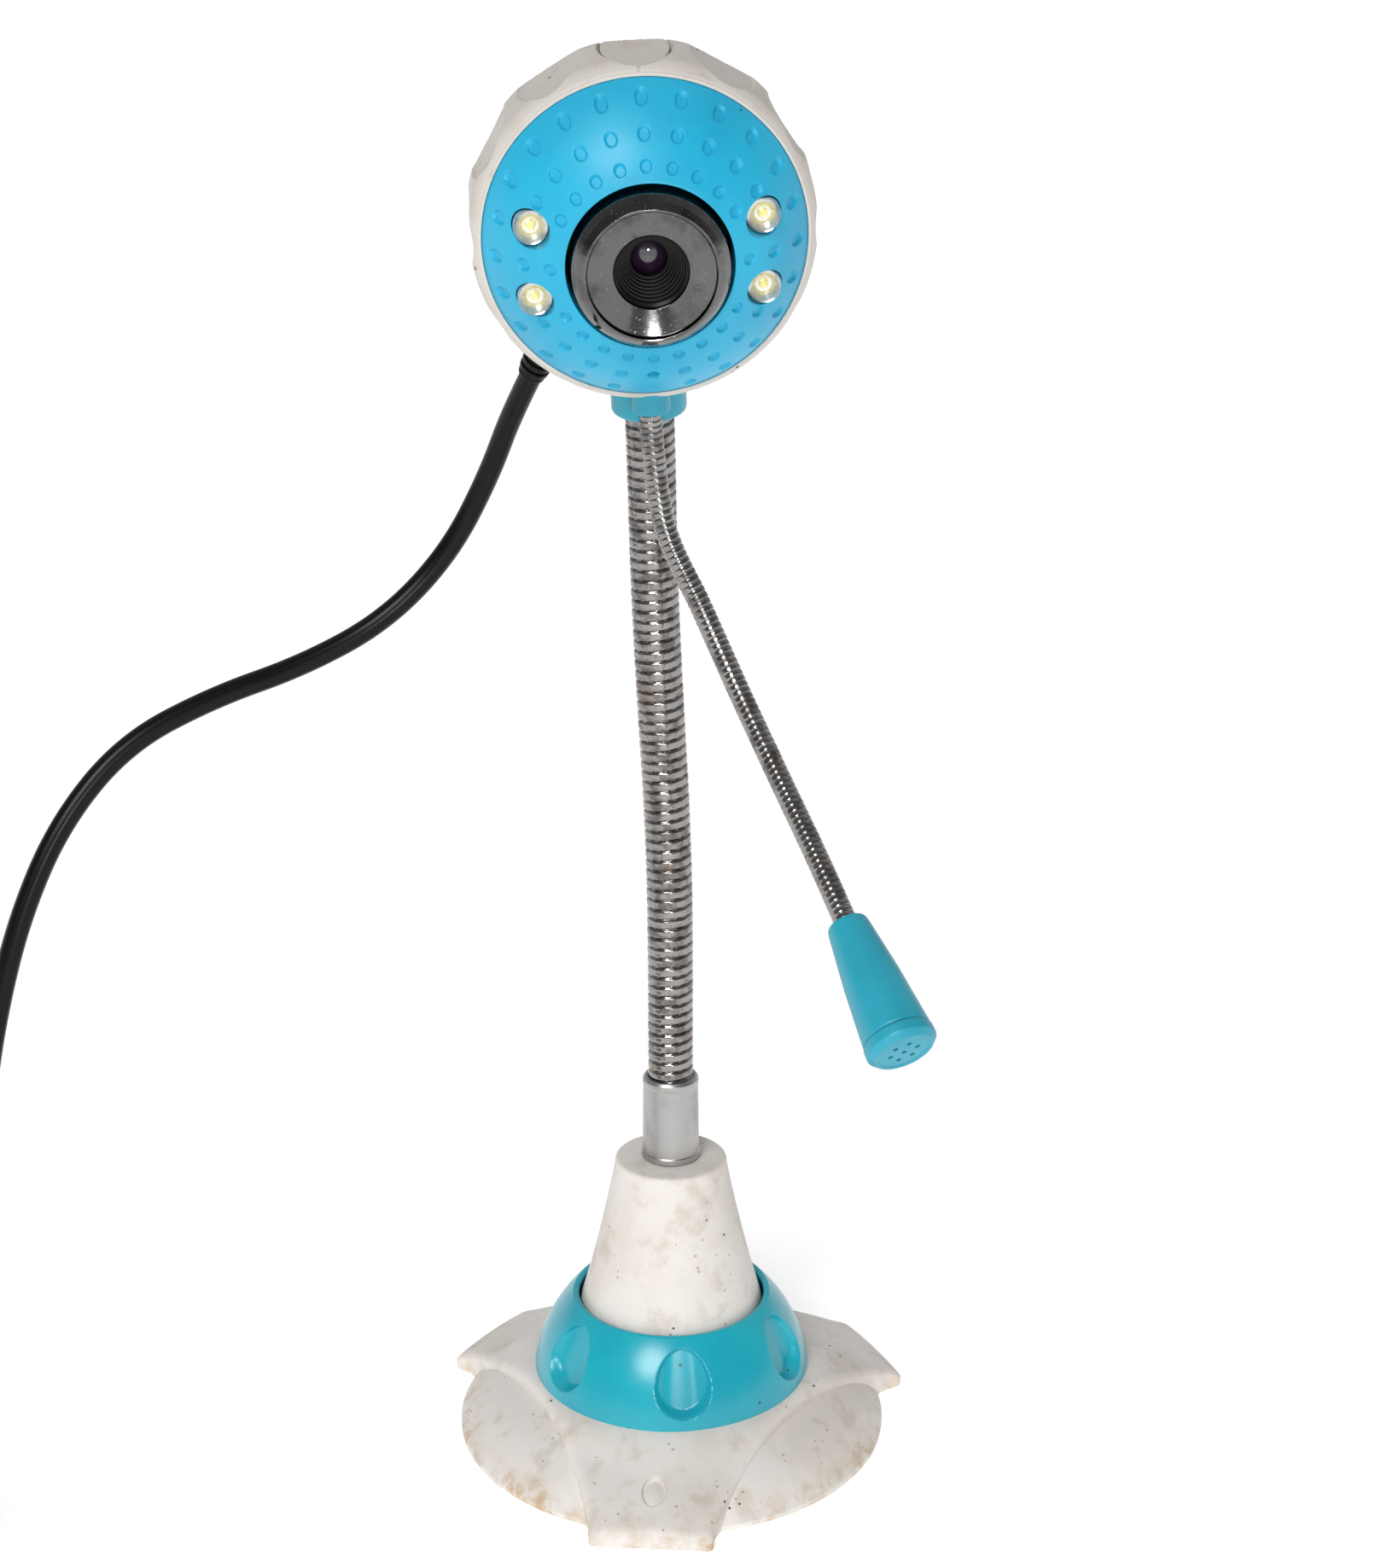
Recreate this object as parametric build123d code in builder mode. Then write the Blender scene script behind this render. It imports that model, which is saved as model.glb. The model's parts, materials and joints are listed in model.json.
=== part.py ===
from build123d import *
from math import cos, pi, radians, sin, sqrt, tan
import os

# Webcam on a flexible steel neck with a weighted three-legged base and a microphone on its own
# flexible boom. Millimetres, +Z up, -Y is the side the lens looks to. The origin is the middle of
# the foot pad's underside, on the surface that the webcam stands on.

os.makedirs("parts", exist_ok=True)

# ---- clearances
running_gap = 0.06  # radial, between a pivot and its socket
slip_gap = 0.1  # between a part and the opening it is dropped into
cap_gap = 0.35  # around parts that move in an opening

# ---- base: foot pad, cover, ballast and shell
base_turn = -4.3  # the base is turned a little under the neck
pad_radius = 30.0
pad_thickness = 1.0
cover_thickness = 1.6
cover_lobe_radius = 31.8
cover_leg_reach = 36.8
rim_lift = 0.3
leg_reach = 40.4
leg_half_width = 10.2
leg_waist = 24.9
lobe_radius = 36.4
lobe_rim_height = 1.3
lobe_crown = 8.6
lobe_flat = 22.0
lobe_shoulder = (31.2, 6.0)
base_wall = 1.9
leg_dome_radius = 89.5
leg_dome_top = 12.9
seat_height = 9.2
dimple_reach = 33.5
weight_radius = 25.0
weight_bore = 8.0
weight_height = 2.4

# ---- base ring and cone
ring_radius = 23.5
ring_height = 15.3
ring_mouth_radius = 15.75
ring_scallops = 6
ring_scallop_turn = -80.0
scallop_ball = 14.0
scallop_depth = 1.1
scallop_height = 11.8
cone_top_height = 49.4
cone_top_radius = 9.45
cone_mouth_radius = 15.2
cone_foot_radius = 19.3
cone_wall = 2.0
cone_rib_width = 1.6
cone_rib_height = 2.0
cone_boss_height = 9.0
cone_edge_round = 1.4

# ---- screws
screw_radius = 1.0
screw_head_radius = 1.9
screw_head_height = 1.3
boss_radius = 2.3
cover_screw_reach = 28.0
cone_screw_reach = 12.6

# ---- lower ferrule and its nut
ferrule_length = 14.8
ferrule_foot_radius = 4.9
ferrule_top_radius = 4.55
stub_radius = 3.0
stub_length = 9.0
nut_across_flats = 9.0
nut_height = 3.6

# ---- flexible neck: short lengths that pivot on each other, alternately fore-aft and sideways
neck_radius = 3.75
neck_rib_pitch = 1.8
neck_rib_depth = 0.3
neck_pivot_radius = 2.2
neck_end_gap = 0.8
neck_hinge_spacing = 13.8
neck_first_hinge = 7.6
neck_forward = [0.0, 0.0, 0.3, 1.0, 2.5, 4.8, 7.8, 11.4, 15.0]
neck_left = [0.0, 0.0, 0.6, 2.0, 3.0, 2.6, 1.7, 0.9, 1.6]

# ---- head
head_facing = 4.0  # degrees towards +X
neck_behind_rim = 9.0
neck_below_axis = 37.6  # from the last neck hinge up to the lens axis
dome_rim_radius = 23.5
dome_mouth_radius = 11.6
dome_height = 11.0
dome_wall = 1.6
dome_dimple_rings = [(21.0, 0.8), (17.3, 0.8), (13.7, 0.75)]
dome_dimple_depth = 0.35
dimples_per_ring = 24
led_side = 15.9
led_rise = 5.05
led_radius = 2.5
led_flange_radius = 2.9
led_tip = 8.9
shell_front_radius = 24.5
shell_back_radius = 25.2
shell_depth = 20.0
shell_wall = 1.7
shell_corner = 9.5
shell_scallops = 12
shell_scallop_ball = 47.6
shell_scallop_depth = 0.8
shell_scallop_back = 11.3
button_half_width = 4.7
button_half_length = 7.6
button_travel = 0.6
button_thickness = 1.7
shelf_height = 14.6
shelf_thickness = 1.2
shelf_length = 9.0
shelf_wall_reach = 6.4

# ---- lens group and electronics, measured along the lens axis from the dome's rim
ring_outer_radius = 10.9
ring_face_radius = 9.25
ring_bore_radius = 5.2
ring_front = 14.6
ring_back = 3.8
barrel_radius = 5.95
glass_radius = 2.4
glass_bulge = 0.7
holder_radius = 8.0
board_radius = 18.2
board_front = -8.0
board_thickness = 1.6
board_screw_reach = 15.2

# ---- neck mount
cup_radius = 5.65
cup_bottom = -29.2
cup_top = -19.6
collar_radius = 2.9
collar_behind_rim = 3.0
collar_bottom = -26.8

# ---- microphone boom and microphone
boom_radius = 1.7
boom_rib_pitch = 1.0
boom_rib_depth = 0.16
boom_pivot_radius = 1.0
boom_end_gap = 0.75
# the boom's hinges after the first, and the end it meets the microphone with: across, up and
# forward from the middle of the dome's rim
boom_first_drop = 5.0
boom_hinges = [
    (1.3, -44.4, 1.0),
    (6.0, -55.0, 7.0),
    (10.5, -64.2, 16.3),
    (14.8, -71.6, 27.7),
    (18.9, -77.8, 40.3),
]
microphone_start = (22.0, -82.6, 51.3)
microphone_top_radius = 3.0
microphone_face_radius = 5.15
microphone_length = 21.5
cap_length = 2.6
capsule_radius = 3.0

# ---- lead and plug
lead_diameter = 3.5
gland_place = (-14.0, -19.5)
gland_direction = (-0.4, -0.85, -0.35)
gland_length = 8.0
gland_radius = 3.0
coil_middle_radius = 20.0
coil_width = 14.2
coil_height = 6.7
entry_turn_radius = 25.2
exit_turn_radius = 23.5
coil_centre = (-141.2, -92.0)
coil_stub = 18.0
tie_opening = 15.0
tie_thickness = 1.0
tie_width = 6.0
plug_length = 24.0
plug_width = 15.4
plug_thickness = 7.6
plug_shell_width = 12.0
plug_shell_thickness = 4.5
plug_shell_length = 18.8
plug_shell_wall = 0.3
plug_relief_length = 11.0
# from the gland to the coil: bending away to the left, then down to the floor and forwards
lead_route = [
    (-28.2, 6.1, 163.3),
    (-35.1, 7.4, 150.5),
    (-45.2, 4.8, 140.3),
    (-57.8, 0.0, 134.2),
    (-71.1, -5.8, 130.6),
    (-83.8, -12.1, 124.9),
    (-93.1, -17.9, 114.1),
    (-99.2, -22.3, 100.6),
    (-103.3, -25.5, 85.7),
    (-106.1, -27.9, 70.3),
    (-108.4, -30.1, 54.7),
    (-110.5, -33.2, 39.2),
    (-112.7, -38.0, 24.1),
    (-114.7, -46.5, 10.5),
    (-116.0, -60.0, 1.75),
]


def along(point, direction, distance):
    """The point that lies this far from another in a direction."""
    return Vector(*point) + direction * distance


def upright_plane(point, direction):
    """A plane across a direction, with its X as near to the world's X as it can be."""
    sideways = Vector(1, 0, 0) - direction * direction.X
    return Plane(origin=tuple(point), x_dir=tuple(sideways), z_dir=tuple(direction))


def side_of(plane):
    """The plane that holds a plane's X axis and its normal: a profile for turning about the normal."""
    return Plane(origin=plane.origin, x_dir=plane.x_dir, z_dir=-plane.y_dir)


def axis_of(plane):
    return Axis(plane.origin, plane.z_dir)


def lean(forward, left):
    """Unit direction of a neck length that leans forward and left by these degrees."""
    return Vector(-tan(radians(left)), -tan(radians(forward)), 1).normalized()


def save(piece, name):
    piece.part.label = name
    export_step(piece.part, f"parts/{name}.step")


def turned(plane, *points):
    """A solid turned about a plane's normal from a closed outline of (radius, height) points."""
    with BuildPart() as body:
        with BuildSketch(side_of(plane)):
            with BuildLine():
                Polyline(*points, close=True)
            make_face()
        revolve(axis=axis_of(plane))
    return body


def dome_height_at(radius):
    """Height of the legs' domed top at a distance from the middle of the base."""
    return sqrt(leg_dome_radius**2 - radius**2) - leg_dome_radius + leg_dome_top


def screw_at(planes, shank_length):
    """Pan-head screws whose heads start at the planes and whose shanks run along the normals."""
    with BuildPart() as screws:
        for plane in planes:
            with BuildSketch(plane):
                Circle(screw_head_radius)
            extrude(amount=-screw_head_height)
            with BuildSketch(plane):
                Circle(screw_radius)
            extrude(amount=shank_length)
    return screws


# ================================================================ frames
base_plane = Plane(
    origin=(0, 0, 0),
    x_dir=(cos(radians(base_turn)), sin(radians(base_turn)), 0),
    z_dir=(0, 0, 1),
)
leg_angles = [-90.0, 30.0, 150.0]
lobe_angles = [-30.0, 90.0, 210.0]
neck_directions = [lean(f, l) for f, l in zip(neck_forward, neck_left)]
ferrule_top_height = cone_top_height + ferrule_length
neck_hinges = [Vector(0, 0, ferrule_top_height + neck_first_hinge)]
for direction in neck_directions[1:-1]:
    neck_hinges.append(along(neck_hinges[-1], direction, neck_hinge_spacing))

head_up = neck_directions[-1]
facing = Vector(sin(radians(head_facing)), -cos(radians(head_facing)), 0)
lens_direction = (facing - head_up * facing.dot(head_up)).normalized()
head_origin = (
    neck_hinges[-1] + head_up * neck_below_axis + lens_direction * neck_behind_rim
)
head_plane = Plane(
    origin=tuple(head_origin),
    x_dir=tuple(head_up.cross(lens_direction)),
    z_dir=tuple(lens_direction),
)
# looking up the head's own vertical, for the neck mount, the button and what hangs below
under_head = Plane(origin=head_plane.origin, x_dir=head_plane.x_dir, z_dir=head_plane.y_dir)


def head_point(across, up, forward):
    return (
        Vector(*head_plane.origin)
        + head_plane.x_dir * across
        + head_plane.y_dir * up
        + head_plane.z_dir * forward
    )


def head_section(forward):
    return head_plane.offset(forward)


def mount_section(up):
    """A plane across the neck mount; its Y runs to the back of the head."""
    return under_head.offset(up)


# ================================================================ base
def leg_outline(inset):
    """Three legs with waisted sides, as one closed outline, drawn inwards by the inset."""
    points = []
    for angle in leg_angles:
        for side in (-1, 1):
            reach, half = leg_reach - inset, leg_half_width - inset
            a = radians(angle)
            points.append(
                (
                    reach * cos(a) - side * half * sin(a),
                    reach * sin(a) + side * half * cos(a),
                )
            )
    for i, angle in enumerate(lobe_angles):
        start = points[2 * i + 1]
        end = points[(2 * i + 2) % 6]
        waist = leg_waist - inset
        middle = (waist * cos(radians(angle)), waist * sin(radians(angle)))
        Line(points[2 * i], start)
        ThreePointArc(start, middle, end)


def base_body(inset, bottom):
    """The shell's outer form, or its hollow when the inset is the wall."""
    edge = lobe_radius - inset
    with BuildPart() as body:
        with BuildSketch(base_plane.offset(bottom)):
            with BuildLine():
                leg_outline(inset)
            make_face()
        extrude(amount=leg_dome_top)
        with Locations((0, 0, leg_dome_top - leg_dome_radius)):
            Sphere(leg_dome_radius - inset, mode=Mode.INTERSECT)
        # the three lobes are one lower dome that shows between the legs
        with BuildSketch(side_of(base_plane)):
            with BuildLine():
                Line((0, bottom), (0, lobe_crown - inset))
                Line((0, lobe_crown - inset), (lobe_flat, lobe_crown - inset))
                ThreePointArc(
                    (lobe_flat, lobe_crown - inset),
                    (lobe_shoulder[0] - inset * 0.6, lobe_shoulder[1] - inset * 0.8),
                    (edge, lobe_rim_height - inset * 0.3),
                )
                Line((edge, lobe_rim_height - inset * 0.3), (edge, bottom))
                Line((edge, bottom), (0, bottom))
            make_face()
        revolve(axis=axis_of(base_plane))
    return body


cover_top = pad_thickness + cover_thickness
outer_body = base_body(0, rim_lift)
hollow_body = base_body(base_wall, rim_lift)
boss_top = dome_height_at(cover_screw_reach) - base_wall / 2

with BuildPart() as base_shell:
    add(outer_body.part)
    add(hollow_body.part, mode=Mode.SUBTRACT)
    with BuildSketch(base_plane.offset(seat_height)):
        Circle(ring_radius + slip_gap)
    extrude(amount=leg_dome_top, mode=Mode.SUBTRACT)
    # seat plate under the ring and the cone
    with BuildSketch(base_plane.offset(seat_height - base_wall)):
        Circle(ring_radius + 0.5)
    extrude(amount=base_wall)
    # bosses that the cover screws bite into
    with BuildSketch(base_plane.offset(cover_top)):
        with PolarLocations(cover_screw_reach, 3, start_angle=-90):
            Circle(boss_radius)
    extrude(amount=boss_top - cover_top)
    with BuildSketch(base_plane.offset(cover_top)):
        with PolarLocations(cover_screw_reach, 3, start_angle=-90):
            Circle(screw_radius + running_gap)
    extrude(amount=4.0, mode=Mode.SUBTRACT)
    # holes for the cone's screws and a middle hole for the ferrule's nut
    with BuildSketch(base_plane):
        with PolarLocations(cone_screw_reach, 3, start_angle=-30):
            Circle(screw_radius + slip_gap)
    extrude(amount=leg_dome_top, mode=Mode.SUBTRACT)
    # oval thumb mark on the front leg
    with BuildSketch(base_plane.offset(dome_height_at(dimple_reach) - 0.35)):
        with Locations((0, -dimple_reach)):
            Ellipse(2.0, 2.9)
    extrude(amount=leg_dome_top, mode=Mode.SUBTRACT)
save(base_shell, "base_shell")

with BuildPart() as base_cover:
    with BuildSketch(base_plane.offset(pad_thickness)):
        with BuildLine():
            leg_outline(base_wall + slip_gap)
        make_face()
        Circle(cover_leg_reach, mode=Mode.INTERSECT)
        Circle(cover_lobe_radius)
    extrude(amount=cover_thickness)
    with BuildSketch(base_plane.offset(pad_thickness)):
        with PolarLocations(cover_screw_reach, 3, start_angle=-90):
            Circle(screw_radius + slip_gap)
    extrude(amount=cover_thickness, mode=Mode.SUBTRACT)
    with BuildSketch(base_plane.offset(pad_thickness)):
        with PolarLocations(cover_screw_reach, 3, start_angle=-90):
            Circle(screw_head_radius + slip_gap)
    extrude(amount=screw_head_height - pad_thickness + 0.5, mode=Mode.SUBTRACT)
save(base_cover, "base_cover")

with BuildPart() as base_pad:
    with BuildSketch(base_plane):
        Circle(pad_radius)
        with PolarLocations(cover_screw_reach, 3, start_angle=-90):
            Circle(screw_head_radius + 0.6, mode=Mode.SUBTRACT)
    extrude(amount=pad_thickness)
save(base_pad, "base_pad")

cover_screw_planes = [
    Plane(
        origin=(
            cover_screw_reach * cos(radians(angle + base_turn)),
            cover_screw_reach * sin(radians(angle + base_turn)),
            pad_thickness + screw_head_height - pad_thickness + 0.5,
        ),
        z_dir=(0, 0, 1),
    )
    for angle in leg_angles
]
cover_screws = screw_at(cover_screw_planes, 4.2)
save(cover_screws, "cover_screws")

with BuildPart() as ballast:
    with BuildSketch(base_plane.offset(cover_top)):
        Circle(weight_radius)
        Circle(weight_bore, mode=Mode.SUBTRACT)
    extrude(amount=weight_height)
save(ballast, "ballast")

ring_top = seat_height + ring_height
with BuildPart() as base_ring:
    with BuildSketch(side_of(base_plane)):
        with BuildLine():
            Line((ring_radius, seat_height), (ring_radius, seat_height + 1.4))
            ThreePointArc(
                (ring_radius, seat_height + 1.4),
                (ring_radius - 1.9, seat_height + 8.2),
                (ring_mouth_radius + 1.1, ring_top - 0.2),
            )
            ThreePointArc(
                (ring_mouth_radius + 1.1, ring_top - 0.2),
                (ring_mouth_radius + 0.45, ring_top + 0.02),
                (ring_mouth_radius, ring_top - 0.4),
            )
            Line((ring_mouth_radius, ring_top - 0.4), (ring_radius - 2.2, seat_height + 3))
            Line((ring_radius - 2.2, seat_height + 3), (ring_radius - 2.2, seat_height))
            Line((ring_radius - 2.2, seat_height), (ring_radius, seat_height))
        make_face()
    revolve(axis=axis_of(base_plane))
    # six thumb scallops round the outside
    for i in range(ring_scallops):
        turn = radians(base_turn + ring_scallop_turn + i * 360 / ring_scallops)
        reach = ring_radius - 1.6 + scallop_ball - scallop_depth
        with Locations((reach * cos(turn), reach * sin(turn), seat_height + scallop_height)):
            Sphere(scallop_ball, mode=Mode.SUBTRACT)
save(base_ring, "base_ring")

cone_bore = stub_radius + slip_gap
cone_roof = cone_top_height - 4.0
with BuildPart() as base_cone:
    with BuildSketch(side_of(base_plane)):
        with BuildLine():
            cone_side = [
                (cone_top_radius, cone_top_height - cone_edge_round),
                (12.0, 36.0),
                (cone_mouth_radius, ring_top - 0.6),
                (cone_foot_radius - 1.4, seat_height + 2.2),
            ]
            Line((cone_bore, cone_top_height), (cone_top_radius - cone_edge_round, cone_top_height))
            ThreePointArc(
                (cone_top_radius - cone_edge_round, cone_top_height),
                (cone_top_radius - 0.4, cone_top_height - 0.4),
                cone_side[0],
            )
            ThreePointArc(cone_side[0], cone_side[1], cone_side[2])
            Line(cone_side[2], cone_side[3])
            Line(cone_side[3], (cone_foot_radius, seat_height + 1.6))
            Line((cone_foot_radius, seat_height + 1.6), (cone_foot_radius, seat_height))
            Line((cone_foot_radius, seat_height), (cone_side[3][0] - cone_wall, seat_height))
            Line(
                (cone_side[3][0] - cone_wall, seat_height),
                (cone_side[2][0] - cone_wall, cone_side[2][1]),
            )
            Line(
                (cone_side[2][0] - cone_wall, cone_side[2][1]),
                (cone_top_radius - cone_wall, cone_roof),
            )
            Line((cone_top_radius - cone_wall, cone_roof), (cone_bore, cone_roof))
            Line((cone_bore, cone_roof), (cone_bore, cone_top_height))
        make_face()
    revolve(axis=axis_of(base_plane))
    with BuildSketch(base_plane.offset(seat_height)):
        with PolarLocations(cone_screw_reach, 3, start_angle=-30):
            Circle(boss_radius)
    extrude(amount=cone_boss_height)
    with BuildSketch(base_plane.offset(seat_height)):
        with PolarLocations((cone_screw_reach + cone_foot_radius - cone_wall) / 2, 3, start_angle=-30):
            Rectangle(cone_foot_radius - cone_wall - cone_screw_reach, cone_rib_width)
    extrude(amount=cone_rib_height)
    with BuildSketch(base_plane.offset(seat_height)):
        with PolarLocations(cone_screw_reach, 3, start_angle=-30):
            Circle(screw_radius + running_gap)
    extrude(amount=7.0, mode=Mode.SUBTRACT)
save(base_cone, "base_cone")

cone_screw_planes = [
    Plane(
        origin=(
            cone_screw_reach * cos(radians(angle + base_turn)),
            cone_screw_reach * sin(radians(angle + base_turn)),
            seat_height - base_wall,
        ),
        z_dir=(0, 0, 1),
    )
    for angle in lobe_angles
]
cone_screws = screw_at(cone_screw_planes, base_wall + 6.0)
save(cone_screws, "cone_screws")

# ================================================================ lower ferrule and nut
neck_socket_depth = 11.8
ferrule_plane = base_plane.offset(cone_top_height)
lower_ferrule = turned(
    ferrule_plane,
    (0, -stub_length),
    (stub_radius, -stub_length),
    (stub_radius, 0),
    (ferrule_foot_radius - 0.4, 0),
    (ferrule_foot_radius, 0.4),
    (ferrule_top_radius + 0.03, ferrule_length - 0.9),
    (ferrule_top_radius, ferrule_length - 0.3),
    (ferrule_top_radius - 0.3, ferrule_length),
    (neck_radius, ferrule_length),
    (neck_radius, ferrule_length - neck_socket_depth),
    (0, ferrule_length - neck_socket_depth),
)
save(lower_ferrule, "lower_ferrule")

with BuildPart() as ferrule_nut:
    with BuildSketch(base_plane.offset(cone_roof - nut_height)):
        RegularPolygon(nut_across_flats / 2, 6, major_radius=False)
        Circle(stub_radius, mode=Mode.SUBTRACT)
    extrude(amount=nut_height)
save(ferrule_nut, "ferrule_nut")


# ================================================================ flexible neck and boom
def wound_length(plane, start, end, radius, pitch, depth):
    """A ribbed rod about a plane's normal: a short length of wound steel tube."""
    ribs = max(int((end - start) / pitch), 1)
    step = (end - start) / ribs
    outline = [(0, start)]
    for i in range(ribs):
        bottom = start + i * step
        outline.append((radius - depth, bottom))
        outline.append((radius, bottom + step * 0.25))
        outline.append((radius, bottom + step * 0.75))
    outline.append((radius - depth, end))
    outline.append((0, end))
    return turned(plane, *outline)


def pivot(point, axis_direction, radius, length):
    """A pivot or the socket for one: a short cylinder across the neck."""
    with BuildPart() as body:
        with BuildSketch(Plane(origin=tuple(point), z_dir=tuple(axis_direction)).offset(-length / 2)):
            Circle(radius)
        extrude(amount=length)
    return body


def flexible_length(plane, start, end, sizes, socket_axis, pivot_point, pivot_axis):
    """One length between two pivots: a socket at its lower end and a pivot at its upper end."""
    radius, pitch, depth, pivot_radius = sizes
    pivot_length = 2 * sqrt((radius - depth) ** 2 - pivot_radius**2)
    with BuildPart() as length:
        add(wound_length(plane, start, end, radius, pitch, depth).part)
        if pivot_point is not None:
            add(pivot(pivot_point, pivot_axis, pivot_radius, pivot_length).part)
        if socket_axis is not None:
            socket = pivot(plane.origin, socket_axis, pivot_radius + running_gap, radius * 3)
            add(socket.part, mode=Mode.SUBTRACT)
    return length


neck_sizes = (neck_radius, neck_rib_pitch, neck_rib_depth, neck_pivot_radius)
boom_sizes = (boom_radius, boom_rib_pitch, boom_rib_depth, boom_pivot_radius)
neck_bottom = upright_plane((0, 0, ferrule_top_height), Vector(0, 0, 1))
neck_planes = [neck_bottom] + [
    upright_plane(hinge, direction) for hinge, direction in zip(neck_hinges, neck_directions[1:])
]


def hinge_axes(planes):
    """Alternate fore-aft and sideways axes, each across the length below its hinge."""
    return [below.x_dir if i % 2 == 0 else below.y_dir for i, below in enumerate(planes[:-1])]


neck_axes = hinge_axes(neck_planes)
for i, plane in enumerate(neck_planes):
    first, last = i == 0, i == len(neck_planes) - 1
    start = -neck_socket_depth if first else neck_end_gap
    end = (neck_first_hinge if first else neck_hinge_spacing) - neck_end_gap
    if last:
        end = neck_below_axis + cup_top - 1.0
    neck_length = flexible_length(
        plane,
        start,
        end,
        neck_sizes,
        None if first else neck_axes[i - 1],
        None if last else neck_hinges[i],
        None if last else neck_axes[i],
    )
    save(neck_length, f"neck_length_{i}")

boom_top = head_point(0, cup_top - 1.0, -collar_behind_rim)
boom_points = [boom_top, head_point(0, collar_bottom - boom_first_drop, -collar_behind_rim)]
boom_points += [head_point(*place) for place in boom_hinges]
boom_points.append(head_point(*microphone_start))
boom_directions = [(b - a).normalized() for a, b in zip(boom_points, boom_points[1:])]
boom_planes = [upright_plane(p, d) for p, d in zip(boom_points, boom_directions)]
boom_axes = hinge_axes(boom_planes)
for i, plane in enumerate(boom_planes):
    first, last = i == 0, i == len(boom_planes) - 1
    reach = (boom_points[i + 1] - boom_points[i]).length
    boom_length = flexible_length(
        plane,
        0.0 if first else boom_end_gap,
        reach + 3.0 if last else reach - boom_end_gap,
        boom_sizes,
        None if first else boom_axes[i - 1],
        None if last else boom_points[i + 1],
        None if last else boom_axes[i],
    )
    save(boom_length, f"boom_length_{i}")

# ================================================================ microphone
microphone_plane = upright_plane(boom_points[-1], boom_directions[-1])
mic_end = microphone_length - cap_length
mic_slope = (microphone_face_radius - 0.15 - microphone_top_radius) / (mic_end - 1.0)
with BuildPart() as microphone_housing:
    with BuildSketch(side_of(microphone_plane)):
        with BuildLine():
            outer_end = microphone_face_radius - 0.15
            Line((boom_radius, 0), (microphone_top_radius - 0.7, 0))
            ThreePointArc(
                (microphone_top_radius - 0.7, 0),
                (microphone_top_radius - 0.2, 0.25),
                (microphone_top_radius, 0.9),
            )
            ThreePointArc(
                (microphone_top_radius, 0.9),
                (microphone_top_radius + (mic_end / 2) * mic_slope + 0.25, mic_end / 2),
                (outer_end, mic_end),
            )
            Line((outer_end, mic_end), (capsule_radius + 0.9, mic_end))
            Line((capsule_radius + 0.9, mic_end), (capsule_radius + 0.9, mic_end - 6))
            Line((capsule_radius + 0.9, mic_end - 6), (1.2, mic_end - 8))
            Line((1.2, mic_end - 8), (1.2, 3.0))
            Line((1.2, 3.0), (boom_radius, 3.0))
            Line((boom_radius, 3.0), (boom_radius, 0))
        make_face()
    revolve(axis=axis_of(microphone_plane))
save(microphone_housing, "microphone_housing")

with BuildPart() as microphone_cap:
    with BuildSketch(side_of(microphone_plane)):
        with BuildLine():
            face = microphone_length
            rim = microphone_face_radius
            Line((0, mic_end + 1.0), (0, face))
            Line((0, face), (rim - 0.9, face))
            ThreePointArc((rim - 0.9, face), (rim - 0.25, face - 0.3), (rim, face - 1.0))
            Line((rim, face - 1.0), (rim - 0.1, mic_end))
            Line((rim - 0.1, mic_end), (capsule_radius + 0.9, mic_end))
            Line((capsule_radius + 0.9, mic_end), (capsule_radius + 0.9, mic_end - 2))
            Line((capsule_radius + 0.9, mic_end - 2), (capsule_radius + 0.1, mic_end - 2))
            Line((capsule_radius + 0.1, mic_end - 2), (capsule_radius + 0.1, mic_end + 1.0))
            Line((capsule_radius + 0.1, mic_end + 1.0), (0, mic_end + 1.0))
        make_face()
    revolve(axis=axis_of(microphone_plane))
    with BuildSketch(microphone_plane.offset(mic_end)):
        Circle(0.35)
        with PolarLocations(2.0, 6):
            Circle(0.35)
    extrude(amount=cap_length + 1, mode=Mode.SUBTRACT)
save(microphone_cap, "microphone_cap")

with BuildPart() as microphone_capsule:
    with BuildSketch(microphone_plane.offset(mic_end - 3.2)):
        Circle(capsule_radius)
    extrude(amount=4.0)
save(microphone_capsule, "microphone_capsule")

# ================================================================ neck mount
with BuildPart() as neck_mount:
    with BuildSketch(mount_section(cup_bottom)):
        with Locations((0, neck_behind_rim)):
            Circle(cup_radius)
    extrude(amount=cup_top - cup_bottom)
    fillet(neck_mount.faces().sort_by(Axis(head_plane.origin, head_plane.y_dir))[0].edges(), 1.3)
    with BuildSketch(mount_section(collar_bottom)):
        with Locations((0, collar_behind_rim)):
            Circle(collar_radius)
        with Locations((0, (neck_behind_rim + collar_behind_rim) / 2)):
            Rectangle(2 * collar_radius, neck_behind_rim - collar_behind_rim)
    extrude(amount=cup_top - collar_bottom)
    with BuildSketch(mount_section(cup_bottom)):
        with Locations((0, neck_behind_rim)):
            Circle(neck_radius)
    extrude(amount=cup_top - cup_bottom - 1.0, mode=Mode.SUBTRACT)
    with BuildSketch(mount_section(cup_bottom)):
        with Locations((0, collar_behind_rim)):
            Circle(boom_radius + slip_gap)
    extrude(amount=cup_top - cup_bottom - 1.0, mode=Mode.SUBTRACT)
save(neck_mount, "neck_mount")


# ================================================================ rear shell
def shell_outline(inset):
    """Half section of the rear shell, drawn inwards by the inset."""
    back = -shell_depth + inset
    Polyline(
        (0, 0),
        (shell_front_radius - inset, 0),
        (shell_back_radius - inset, back + 0.6),
        (0, back),
        close=True,
    )


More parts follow.
